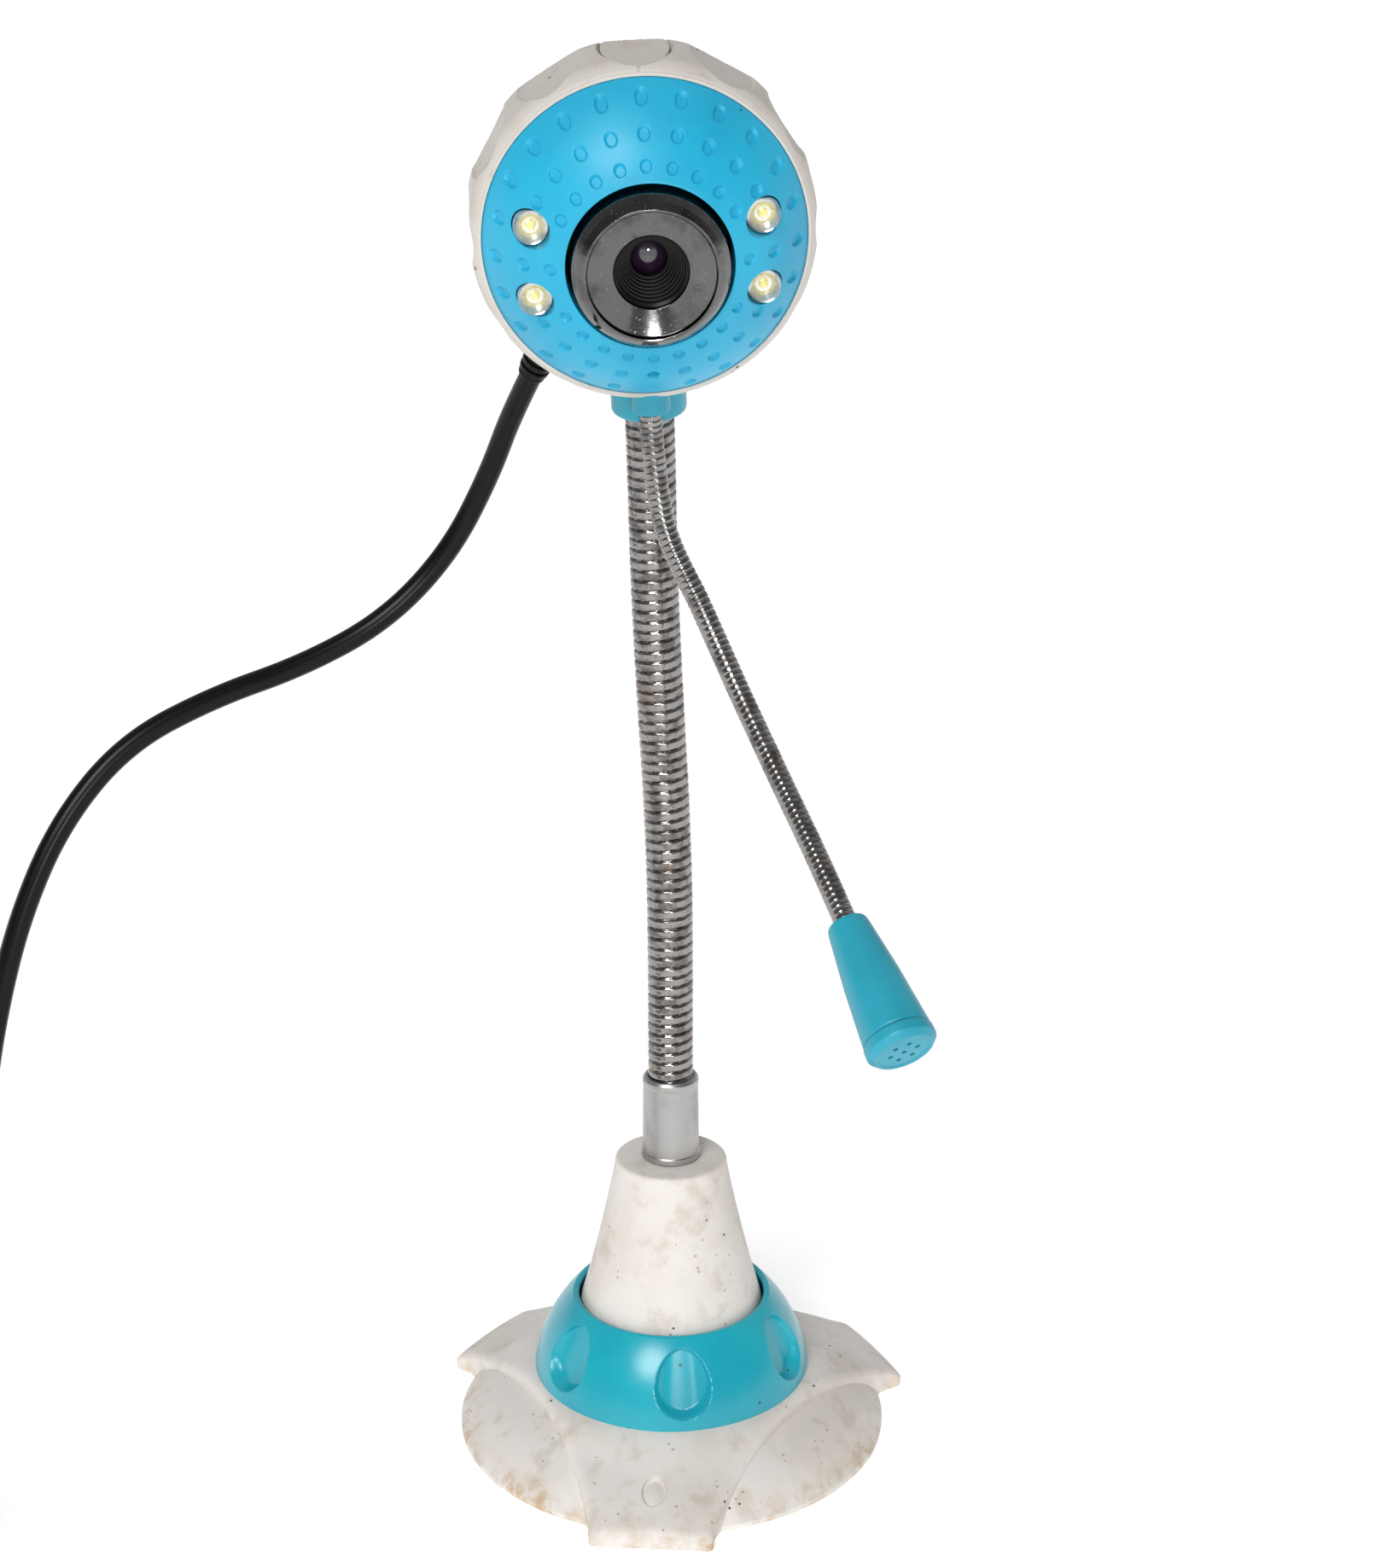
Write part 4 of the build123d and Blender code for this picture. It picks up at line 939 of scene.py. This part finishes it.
def make_base_lobes():
    """The lower dome that shows between the legs."""
    top = arc_through((22.0, 8.6), (31.2, 6.0), (lobe_radius, 1.3), 60)
    outline = sharp((21.0, 8.6)) + top
    outline += eased((lobe_radius, 1.3), (lobe_radius, 0.3, 0.3), (lobe_radius - 1.2, 0.3))
    outline += sharp((lobe_radius - 1.9, 1.0), (28.0, 5.2), (21.0, 6.6))
    form = turned(outline, 180, closed=True)
    piece("base_lobes", form, base, "base", "base_plastic")


def make_base_ring():
    """The turquoise ring, with six scallops that end in a crescent."""
    seat, ring_radius, mouth = 9.2, 23.5, 15.75
    ring_top = seat + 15.3
    lip = (mouth + 1.1, ring_top - 0.2)
    outline = sharp(
        (ring_radius - 0.6, seat), (ring_radius - 0.25, seat + 0.5), (ring_radius - 0.05, seat + 1.1)
    )
    outline += arc_through((ring_radius, seat + 1.4), (ring_radius - 1.9, seat + 8.2), lip, 90)
    outline += arc_through(lip, (mouth + 0.45, ring_top + 0.02), (mouth, ring_top - 0.4), 8)[1:]
    outline += sharp((mouth + 0.1, ring_top - 1.0), (21.2, 12.4), (21.2, seat))
    points, faces = turned(outline, 720, closed=True)
    half_width, half_height, middle_height, first_scallop = 4.9, 5.2, 18.0, radians(-80)
    for point in points:
        radius = hypot(point.x, point.y)
        if radius < 16.4 or point.z < seat + 0.9 or (radius < 21.5 and point.z < 13):
            continue
        turn = (atan2(point.y, point.x) - first_scallop + pi / 6) % (pi / 3) - pi / 6
        oval = hypot(21.5 * turn / half_width, (point.z - middle_height) / half_height)
        edge = min(max((1.0 - oval) / 0.13, 0.0), 1.0)
        wall = 21.3 - 0.40 * max(point.z - 12.5, 0.0) + 1.8 * (turn / 0.22) ** 4
        depth = max(radius - wall, 0.0) * edge * edge * (3 - 2 * edge)
        point.xy = point.xy * ((radius - depth) / radius)
    form = points, faces
    piece("base_ring_scalloped", form, base, "base", "turquoise_plastic", ("base_ring",), crease=28)


def make_base_cone():
    """The cone that carries the neck, with a soft edge round its top."""
    side = arc_through((9.45, 48.0), (12.0, 36.0), (15.2, 23.9), 40)
    outline = sharp((3.1, 49.4))
    outline += eased((3.1, 49.4), (9.3, 49.4, 1.5), (9.45, 48.0), steps=8)
    outline += side
    outline += sharp((18.0, 11.4), (19.2, 10.8), (19.2, 9.3), (15.9, 9.3), (13.1, 23.9))
    outline += sharp((7.45, 45.4), (3.1, 45.4))
    form = turned(outline, 144, closed=True)
    piece("base_cone_turned", form, base, "base", "base_plastic", ("base_cone",))


def make_ferrule():
    """The satin metal sleeve at the neck's foot."""
    foot, length = 49.4, 14.8
    outline = sharp((0, foot - 9.0)) + eased(
        (3.0, foot - 9.0), (3.0, foot), (4.62, foot + 0.05, 0.1), (4.9, foot + 0.4, 0.15),
        (4.9, foot + 1.2, 0.1), (4.74, foot + 1.4, 0.1), (4.56, foot + length - 1.5, 0.1),
        (4.66, foot + length - 1.2, 0.1), (4.66, foot + length - 0.5, 0.15),
        (4.3, foot + length, 0.15), (3.85, foot + length), (3.6, foot + length - 1.6),
        (0, foot + length - 1.6), steps=4,
    )
    piece("lower_ferrule_turned", turned(outline, 96), base, "base", "ferrule_steel", ("lower_ferrule",))


make_base_legs()
make_base_lobes()
make_base_ring()
make_base_cone()
make_ferrule()


# ================================================================ flexible neck and boom
def eased_line(points, step):
    """A smooth line through all the points."""
    line = []
    before = [points[0] * 2 - points[1]] + points[:-1]
    after = points[2:] + [points[-1] * 2 - points[-2]]
    for i in range(len(points) - 1):
        a, b = points[i], points[i + 1]
        out = (b - before[i]) * 0.5
        into = (after[i] - a) * 0.5
        count = max(int((b - a).length / step), 4)
        for k in range(count):
            t = k / count
            line.append(
                a * (2 * t**3 - 3 * t**2 + 1)
                + out * (t**3 - 2 * t**2 + t)
                + b * (3 * t**2 - 2 * t**3)
                + into * (t**3 - t**2)
            )
    line.append(points[-1])
    return line


def make_winding(name, points, hinges, bodies, radius, pitch, depth, nodes):
    """A wound steel tube in stretches: each goes from mid-length to mid-length over one joint."""
    path = Path(eased_line(points, 0.0008))
    places = [path.nearest(hinge) for hinge in hinges]
    ends = [0.0] + [(a + b) / 2 for a, b in zip(places, places[1:])] + [path.length]

    def crown(distance, turn):
        phase = (distance / (pitch * MM) - turn) % 1.0
        groove = abs(2 * phase - 1) ** 5
        return (radius - depth * groove) * MM

    for i, (first, last) in enumerate(zip(ends, ends[1:])):
        around = 40 if radius > 2.5 else 24
        form = tube_form(path, first, last, pitch * MM / 12, around, crown)
        stretch = piece(
            f"{name}_{i + 1}", form, METRES, None, "wound_steel", nodes[i], crease=70, link_only=True
        )
        margin = 0.16 * (last - first)
        near = min(margin, abs(places[i] - first) * 0.7)
        far = min(margin, abs(last - places[i]) * 0.7)
        start, end = path.at(places[i] - near * 1.6)[0], path.at(places[i] + far * 1.6)[0]
        bodies[i + 1]
        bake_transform(stretch)


def hinge_places(name, count):
    """Where the hinges of the neck or boom are, from its foot up: bends and leans by turns."""
    names = [f"{name}_{'lean' if i % 2 else 'bend'}_{i // 2 + 1}" for i in range(count)]
    return [Vector(joints[hinge]["pos_m"]) for hinge in names]


def length_nodes(name, count):
    """The CAD lengths that each stretch stands for: two for the first, one for each other."""
    return [(f"{name}_length_0", f"{name}_length_1")] + [
        (f"{name}_length_{i}",) for i in range(2, count + 1)
    ]


def make_neck():
    """The neck, from inside the ferrule up into its cup."""
    hinges = hinge_places("neck", 8)
    top = hinges[-1] + head_up * 0.0125
    points = [Vector((0, 0, 0.0615)), Vector((0, 0, 0.0660))] + hinges + [top]
    make_winding("neck_winding", points, hinges, chain, 3.75, 1.68, 0.42, length_nodes("neck", 8))


def make_boom():
    """The boom, from its collar to the microphone."""
    hinges = hinge_places("boom", 6)
    collar = hinges[0] + head_up * 0.0075
    bodies = ["head"] + [f"boom_{i}" for i in range(1, 6)] + ["microphone"]
    points = [collar] + hinges + [microphone_start + microphone_way * 0.0015]
    make_winding("boom_winding", points, hinges, bodies, 1.7, 1.0, 0.2, length_nodes("boom", 6))


last_hinge = Vector(joints["boom_lean_3"]["pos_m"])
microphone_start = head @ Vector((22.0, -82.6, 51.3))
microphone_way = (microphone_start - last_hinge).normalized()
make_neck()
make_boom()


def make_microphone():
    """A tapered teal housing and its cap, with seven sound holes."""
    where = axes_frame(microphone_start, (1, 0, 0), microphone_way)
    seam = 18.9
    body = eased(
        (1.75, 2.0), (1.75, 0.0, 0.1), (2.9, 0.0, 0.7), (3.1, 1.0), (4.15, 9.5),
        (4.95, seam - 0.25, 0.1), (4.85, seam, 0.1), (3.4, seam), steps=5,
    )
    piece(
        "microphone_barrel",
        turned(sharp((0, 2.0)) + body + sharp((0, seam)), 96),
        where,
        "microphone",
        "teal_plastic",
        ("microphone_housing",),
    )
    face = 21.5
    cap = eased(
        (3.4, seam + 0.08), (4.9, seam + 0.08, 0.12), (5.1, seam + 0.4, 0.2),
        (5.12, face - 0.9, 0.5), (4.3, face - 0.02, 0.5), (3.9, face, 0.2),
        (3.7, face - 0.18, 0.1), (2.6, face - 0.12), steps=6,
    )
    form = turned(sharp((0, seam + 0.08)) + cap + sharp((0, face - 0.08)), 96)
    replaced = ("microphone_cap",)
    made = piece("microphone_cap_turned", form, where, "microphone", "teal_plastic", replaced)
    hole = turned(sharp((0, -1.6), (0.34, -1.6), (0.38, 1.0), (0, 1.0)), 20)
    holes = [moved(hole, (0, 0, face))]
    for i in range(6):
        turn = pi / 3 * i + 0.2
        holes.append(moved(hole, (2.0 * cos(turn), 2.0 * sin(turn), face)))
    cut(made, "sound_holes", joined(*holes), where)


make_microphone()


# ================================================================ neck mount
def make_neck_mount():
    """The cup that holds the neck, and the collar in front of it that holds the boom."""
    low, top = -29.2, -19.6
    cup = eased(
        (3.95, top), (5.65, top), (5.65, low, 1.5), (4.1, low, 0.2), (3.95, low + 0.6),
        closed=False, steps=7,
    )
    where = hung(0, 0, -9.0)
    piece("neck_cup", turned(cup, 96, closed=True), where, "head", "teal_plastic", ("neck_mount",))
    low = -26.8
    collar = eased(
        (1.85, top), (2.9, top), (2.9, low, 0.35), (1.95, low, 0.15), (1.85, low + 0.4), steps=4
    )
    piece("boom_collar", turned(collar, 72, closed=True), hung(0, 0, -3.0), "head", "teal_plastic")
    web = [
        [(side * 2.82, y, z) for side, y in ((-1, 1.95), (1, 1.95), (1, 3.2), (-1, 3.2))]
        for z in (low + 0.05, low + 0.2, top)
    ]
    web[0] = [(x * 0.96, y, z) for x, y, z in web[0]]
    piece("mount_web", lofted(web), hung(0, 0, -3.0), "head", "teal_plastic")


make_neck_mount()


# ================================================================ rear shell and button
shell_front_radius = 24.5
corner_centre = shell_back_radius - 0.3 - shell_corner
scallop_half_width, scallop_half_length, scallop_back = 5.3, 9.1, 10.1
scallop_radius, scallop_bottom, scallop_reach = 38.0, 23.65, 25.0


def shell_radius(z):
    """The shell's outer radius at a depth behind the rim."""
    bend = -shell_depth + shell_corner
    if z > bend:
        rolled = max(z + 3.2, 0.0) ** 2 * 0.105
        widening = shell_back_radius - shell_front_radius
        return shell_front_radius + widening * z / -shell_depth - rolled
    return corner_centre + sqrt(max(shell_corner**2 - (z - bend) ** 2, 0.0))


def scallop_surface(turn):
    """How far out a scallop's hollow face is, at an angle from its middle."""
    middle = scallop_bottom + scallop_radius
    return middle * cos(turn) - sqrt(scallop_radius**2 - (middle * sin(turn)) ** 2)


def make_rear_shell():
    """The rear shell, with twelve scallops, and an opening in the top one for the button."""
    back = -shell_depth
    outer = sharp((shell_radius(0) - 0.25, 0.05), (shell_radius(-0.35), -0.35))
    rows = 60
    for k in range(1, rows + 1):
        z = -0.35 + (back + shell_corner + 0.35) * k / rows
        outer.append(Vector((shell_radius(z), z)))
    for k in range(1, 37):
        turn = pi / 2 * k / 36
        height = back + shell_corner - shell_corner * sin(turn)
        outer.append(Vector((corner_centre + shell_corner * cos(turn), height)))
    outer += sharp((8.0, back), (0, back))
    inner = sharp((0, back + 1.7), (14.0, back + 1.7), (20.5, -14.5), (22.8, -9.0))
    inner += sharp((22.7, -0.8), (22.9, 0.0))
    points, faces = turned(inner + outer, 720)
    for point in points:
        radius = hypot(point.x, point.y)
        if radius < 15 or radius < shell_radius(point.z) - 1.2 and point.z > -17:
            continue
        angle = atan2(point.y, point.x) - pi / 2
        number = round(angle / (pi / 6))
        turn = angle - number * pi / 6
        arc = turn * scallop_reach
        oval = hypot(arc / scallop_half_width, (point.z + scallop_back) / scallop_half_length)
        inside = min(max((1.0 - oval) / 0.045, 0.0), 1.0)
        depth = max(radius - scallop_surface(turn), 0.0) * inside * inside * (3 - 2 * inside)
        if number % 12 == 0:
            if oval < 1.0:
                depth += 2.6 * min((1.0 - oval) / 0.02, 1.0)
            elif abs(arc) < 0.12 and point.z > -4 and radius > 22.95:
                depth += 0.22
        point.xy = point.xy * ((radius - depth) / radius)
    form = points, faces
    piece("rear_shell_scalloped", form, head, "head", "shell_plastic", ("rear_shell",), crease=32)


def make_button():
    """The snapshot button: the middle of the top scallop, in its own opening."""
    gap = 0.32
    half_width, half_length = scallop_half_width - gap, scallop_half_length - 3 * gap
    levels = [(k / 14, 0.0) for k in range(14)]
    levels += [(0.965, 0.0), (0.985, 0.05), (0.997, 0.14), (1.0, 0.3)]
    rings = []
    for share, drop in levels:
        ring = []
        for k in range(96):
            turn = 2 * pi * k / 96
            arc = half_width * max(share, 0.001) * cos(turn)
            z = -scallop_back + half_length * max(share, 0.001) * sin(turn)
            angle = arc / scallop_reach
            radius = min(scallop_surface(angle) + 0.12, shell_radius(z) + 0.02) - drop
            ring.append(Vector((radius * sin(angle), radius * cos(angle), z)))
        rings.append(ring)
    rings.append([Vector((p.x, p.y - 1.5, p.z)) for p in rings[-1]])
    replaced = ("snapshot_button",)
    piece("snapshot_button_cap", lofted(rings), head, "button", "shell_plastic", replaced, crease=40)


make_rear_shell()
make_button()


# ================================================================ front dome
dome_rim, dome_mouth, dome_height = 22.8, 11.6, 11.0
ball_middle = (dome_mouth**2 + dome_height**2 - dome_rim**2) / (2 * dome_height)
ball_radius = sqrt(dome_rim**2 + ball_middle**2)
dimple_rings = [(21.0, 0.80), (17.3, 0.78), (13.7, 0.74)]
led_places = [(side * 15.9, rise * 5.05) for side in (-1, 1) for rise in (-1, 1)]
led_opening = 2.62


def dome_surface(radius):
    """How far the dome's ball stands in front of the rim, at a radius."""
    return sqrt(ball_radius**2 - radius**2) + ball_middle


def dimple_places():
    """Three rings of dimples; the two inner rings leave room for the lights."""
    places = []
    for number, (reach, radius) in enumerate(dimple_rings):
        for i in range(24):
            if number and i in (5, 7, 17, 19):
                continue
            turn = pi / 2 + i * pi / 12
            hole = number == 1 and i == 12
            places.append((reach * cos(turn), reach * sin(turn), radius, hole))
    return places


def make_dome():
    """The sky blue dome, with its dimples, four light openings and a pinhole at the bottom."""
    outline = sharp((dome_rim - 1.8, -0.5), (dome_rim - 0.12, -0.5), (dome_rim, -0.2), (dome_rim, 0.05))
    rows = 118
    for k in range(1, rows):
        radius = dome_rim + (dome_mouth + 0.35 - dome_rim) * k / rows
        outline.append(Vector((radius, dome_surface(radius))))
    outline += eased(
        (dome_mouth + 0.35, dome_surface(dome_mouth + 0.35)),
        (dome_mouth, dome_height - 0.1, 0.3), (dome_mouth, 5.0), (dome_mouth + 1.5, 5.0), steps=4,
    )
    outline += sharp((dome_mouth + 1.5, 3.0), (16.0, 0.6), (20.0, -0.3))
    points, faces = turned(outline, 720, closed=True)
    places = dimple_places()
    middle = Vector((0, 0, ball_middle))
    for point in points:
        if abs((point - middle).length - ball_radius) > 0.05:
            continue
        for x, y in led_places:
            away = Vector((point.x - x, point.y - y))
            if abs(away.length - led_opening) < 0.11:
                away = away.normalized() * led_opening
                point.x, point.y = x + away.x, y + away.y
                point.z = dome_surface(hypot(point.x, point.y)) - 0.05
            elif away.length < led_opening:
                point.z -= 5.4
        for x, y, size, hole in places:
            away = hypot(point.x - x, point.y - y)
            if away < size + 0.14:
                share = min(max((size + 0.14 - away) / 0.26, 0.0), 1.0)
                depth = 0.48 * share * share * (3 - 2 * share)
                if hole and away < size * 0.9:
                    depth = 2.4
                point -= (point - middle).normalized() * depth
                break
    form = points, faces
    piece("front_dome_dimpled", form, head, "head", "sky_plastic", ("front_dome",), crease=38)


def make_rim_band():
    """The thin pale edge that shows round the dome where the shell's lip stands behind it."""
    band = eased(
        (22.88, -0.6), (22.88, 0.12, 0.1), (23.3, 0.12, 0.15), (23.5, -0.3, 0.1), (23.2, -0.8),
        closed=True, steps=3,
    )
    piece("rim_lip", turned(band, 288, closed=True), head, "head", "shell_plastic")


def make_leds():
    """Four clear 5 mm lights: a resin lens over a metal cup with a yellow emitter, which has a faint
    painted glow.
    """
    tip, foot = 8.9, 2.2
    lens = sharp((0, foot), (2.46, foot), (2.46, tip - 2.5))
    for k in range(1, 15):
        turn = pi / 2 * k / 14
        lens.append(Vector((2.46 * cos(turn), tip - 2.5 + 2.5 * sin(turn))))
    lens[-1] = Vector((0, tip))
    cup = eased(
        (0, 5.9), (0.7, 5.9), (1.5, 6.6, 0.1), (2.3, 6.7, 0.1), (2.3, 2.6), (0, 2.6), steps=3
    )
    emitter = eased((0, 5.9), (0.42, 5.9), (0.42, 6.25, 0.1), (0.3, 6.35, 0.1), (0, 6.4), steps=4)
    outlines = {"led_lenses": lens, "led_cups": cup, "led_emitters": emitter}
    for name, outline in outlines.items():
        form = joined(*(moved(turned(outline, 48), (x, y, 0)) for x, y in led_places))
        replaced = ("leds",) if name == "led_lenses" else ()
        made = piece(name, form, head, "head", "led_clear", replaced)
        if name == "led_cups":
            made.data.materials[0] = cup_metal
        if name == "led_emitters":
            # the emitters get the phosphor finish and its painted glow
            made.data.materials[0] = painted_glow_phosphor


make_dome()
make_rim_band()
make_leds()


# ================================================================ focus ring and lens
front = 14.6  # how far the ring stands in front of the dome's rim


def make_focus_ring():
    """The chromed ring: a rolled rim round a dished face that runs in to the lens."""
    outline = eased(
        (5.3, front - 5.0), (5.2, front - 1.75, 0.15), (8.75, front - 0.62, 0.2),
        (8.95, front - 0.1, 0.12), (9.3, front, 0.12), (10.1, front - 0.95, 0.3),
        (10.85, front - 2.1, 0.3), (10.9, front - 2.9, 0.2), (10.8, front - 3.2, 0.1),
        (10.8, front - 4.4, 0.1), (10.9, front - 4.7, 0.1), (10.9, 3.9, 0.2), (9.3, 3.9, 0.1),
        (9.2, front - 4.2, 0.2), steps=7, closed=True,
    )
    form = turned(outline, 256, closed=True)
    replaced = ("focus_ring",)
    piece("focus_ring_chromed", form, head, "focus_group", "ring_chrome", replaced, crease=50)


def make_barrel():
    """The black barrel inside the ring, stepped like a thread down to the glass."""
    outline = sharp((5.15, front - 2.3), (4.75, front - 2.6))
    for i in range(7):
        radius, z = 4.7 - i * 0.30, front - 3.0 - i * 0.62
        outline += sharp((radius, z), (radius - 0.05, z - 0.42), (radius - 0.26, z - 0.46))
    outline += sharp((2.45, front - 7.4), (2.42, front - 8.6), (2.0, front - 8.8))
    outline += sharp((2.0, front - 17.6), (5.9, front - 17.6), (5.9, front - 8.2), (5.2, front - 7.6))
    form = turned(outline, 96, closed=True)
    piece("lens_barrel_stepped", form, head, "focus_group", "lens_plastic", ("lens_barrel",))


def make_glass():
    """The front glass, a shallow dome deep in the barrel."""
    outline = sharp((0, front - 9.6), (2.4, front - 9.6), (2.4, front - 8.2))
    for k in range(1, 12):
        radius = 2.4 * (1 - k / 12)
        outline.append(Vector((radius, front - 8.2 + 0.75 * (1 - (radius / 2.4) ** 2))))
    outline.append(Vector((0, front - 7.45)))
    piece("lens_front_glass", turned(outline, 72), head, "focus_group", "lens_glass", ("lens_glass",))


make_focus_ring()
make_barrel()
make_glass()


# ================================================================ tie and plug
def rounded_rectangle(half_width, half_height, corner, z, per_corner=6, shift=(0, 0)):
    """A loop of points round a rectangle with round corners, at a height."""
    loop = []
    for i, (sx, sy) in enumerate(((1, 1), (-1, 1), (-1, -1), (1, -1))):
        for k in range(per_corner + 1):
            turn = pi / 2 * (i + k / per_corner)
            x = sx * (half_width - corner) + corner * cos(turn)
            y = sy * (half_height - corner) + corner * sin(turn)
            loop.append((x + shift[0], y + shift[1], z))
    return loop


def make_tie():
    """A flat tie round the coil, with its lock on top."""
    place = Vector((coil_centre.x, coil_centre.y - 20.0, 3.75)) * MM
    turn = Matrix(((0, 0, 1, 0), (1, 0, 0, 0), (0, 1, 0, 0), (0, 0, 0, 1)))
    where = Matrix.Translation(place) @ turn @ Matrix.Scale(MM, 4)
    outer, inner, half = (8.3, 3.65, 1.9), (7.6, 3.15, 1.4), 1.7
    sides = ((inner, -half), (outer, -half), (outer, half), (inner, half))
    strap = lofted([rounded_rectangle(*size, z) for size, z in sides], closed=True)
    levels = ((-2.3, 1.5, 0.3), (-2.0, 1.8, 0.5), (2.0, 1.8, 0.5), (2.3, 1.5, 0.3))
    lock = lofted([rounded_rectangle(w, h, 0.15, z, 3, (0, 3.3)) for z, w, h in levels])
    piece("lead_tie_strap", joined(strap, lock), where, "base", "plug_black", ("lead_tie",))


def plug_where():
    """The plug's frame: z along it to its tip, x across it and y up."""
    place = Vector((coil_centre.x - 23.5, coil_centre.y + 18.0, 3.8)) * MM
    turn = Matrix(((1, 0, 0, 0), (0, 0, 1, 0), (0, 1, 0, 0), (0, 0, 0, 1)))
    return Matrix.Translation(place) @ turn @ Matrix.Scale(MM, 4)


def make_plug():
    """A moulded plug with a ribbed relief, finger grips, a steel shell and its tongue."""
    where = plug_where()
    sections = []
    for k in range(34):
        z = 0.2 + 10.6 * k / 33
        swell = (k / 33) ** 1.6
        rib = 0.22 if (k // 3) % 2 and 3 < k < 28 else 0.0
        width, height = 2.3 + 2.3 * swell - rib, 2.3 + 0.8 * swell - rib
        sections.append(rounded_rectangle(width, height, min(width, height) * 0.85, z))
    for z, width, height in ((11.0, 6.6, 3.2), (11.5, 7.4, 3.6), (12.4, 7.7, 3.8)):
        sections.append(rounded_rectangle(width, height, 1.8, z))
    for k in range(29):
        grip = 0.35 * (0.5 - 0.5 * cos(2 * pi * k / 4)) if 2 < k < 26 else 0.0
        pinch = 0.35 * sin(pi * k / 28)
        sections.append(rounded_rectangle(7.7 - pinch - grip, 3.8, 1.9, 13.5 + 14.0 * k / 28))
    for z, width, height in ((33.6, 7.7, 3.8), (34.6, 7.4, 3.6), (35.0, 6.8, 3.2)):
        sections.append(rounded_rectangle(width, height, 1.7, z))
    body = piece("usb_plug_moulding", lofted(sections), where, "base", "plug_black", ("usb_plug",))
    foot, tip = 31.0, 31.0 + 18.8
    walls = ((foot, 0.0), (tip - 0.2, 0.0), (tip, 0.08), (tip, 0.26), (tip - 0.2, 0.3), (foot, 0.3))
    shell = [rounded_rectangle(6.0 - wall, 2.25 - wall, 0.5, z, 4) for z, wall in walls]
    form = lofted(shell, closed=True)
    steel = piece("plug_shell_folded", form, where, "base", "plug_steel", ("plug_shell",))
    windows = [
        lofted([rounded_rectangle(1.15, 3.4, 0.1, z, 2, (x, 0)) for z in (tip - 8.2, tip - 5.9)])
        for x in (-2.6, 2.6)
    ]
    cut(steel, "shell_windows", joined(*windows), where)
    levels = ((31.2, 0.0), (tip - 0.9, 0.0), (tip - 0.65, 0.15))
    tongue = [rounded_rectangle(5.65 - e, 0.92 - e, 0.1, z, 2, (0, -1.0)) for z, e in levels]
    block = piece("plug_tongue_block", lofted(tongue), where, "base", "plug_white", ("plug_tongue",))
    levels = ((33.0, 0.0), (tip - 1.6, 0.0), (tip - 1.2, 0.05))
    strips = [
        lofted([rounded_rectangle(0.5, 0.08 - e, 0.02, z, 2, (x, -0.04)) for z, e in levels])
        for x in (-3.5, -1.0, 1.0, 3.5)
    ]
    contacts = piece("plug_contacts", joined(*strips), where, "base", "contact_metal")
    return [body, steel, block, contacts]


make_tie()
plug_pieces = make_plug()


# ================================================================ carried-over parts and floor
def finish_cad_parts():
    """Gives every part of the frame that still shows the finish of its own slot."""
    slots = {part["node"]: part["material_slot"] for part in frame["record"]["subparts"]}
    for name, part in frame["nodes"].items():
        if not part.material_slots:
            part.data.materials.append(finishes[slots[name]])
        for material_slot in part.material_slots:
            material_slot.link = "OBJECT"
            material_slot.material = finishes[slots[name]]


def make_floor():
    """A pale floor that the webcam and its coil stand on."""
    size, steps, height = 30.0, 24, -0.00005
    points, faces = [], []
    for i in range(steps + 1):
        for k in range(steps + 1):
            points.append((size * (2 * i / steps - 1), size * (2 * k / steps - 1), height))
    for i in range(steps):
        for k in range(steps):
            a = i * (steps + 1) + k
            faces.append([a, a + 1, a + steps + 2, a + steps + 1])
    mesh = bpy.data.meshes.new("floor")
    mesh.from_pydata(points, [], faces)
    f = Finish("floor_card")
    tone = f.noise(0.002, 2.0)
    f.surface(
        Base_Color=f.blend(tone, (0.86, 0.86, 0.86), (0.83, 0.83, 0.83)),
        Roughness=0.85 + tone * 0.1,
        Specular_IOR_Level=0.1,
        Emission_Color=(1.0, 1.0, 1.0),
        Emission_Strength=0.52,
    )
    mesh.materials.append(f.material)
    floor_card = placed("floor", mesh)


finish_cad_parts()
make_floor()
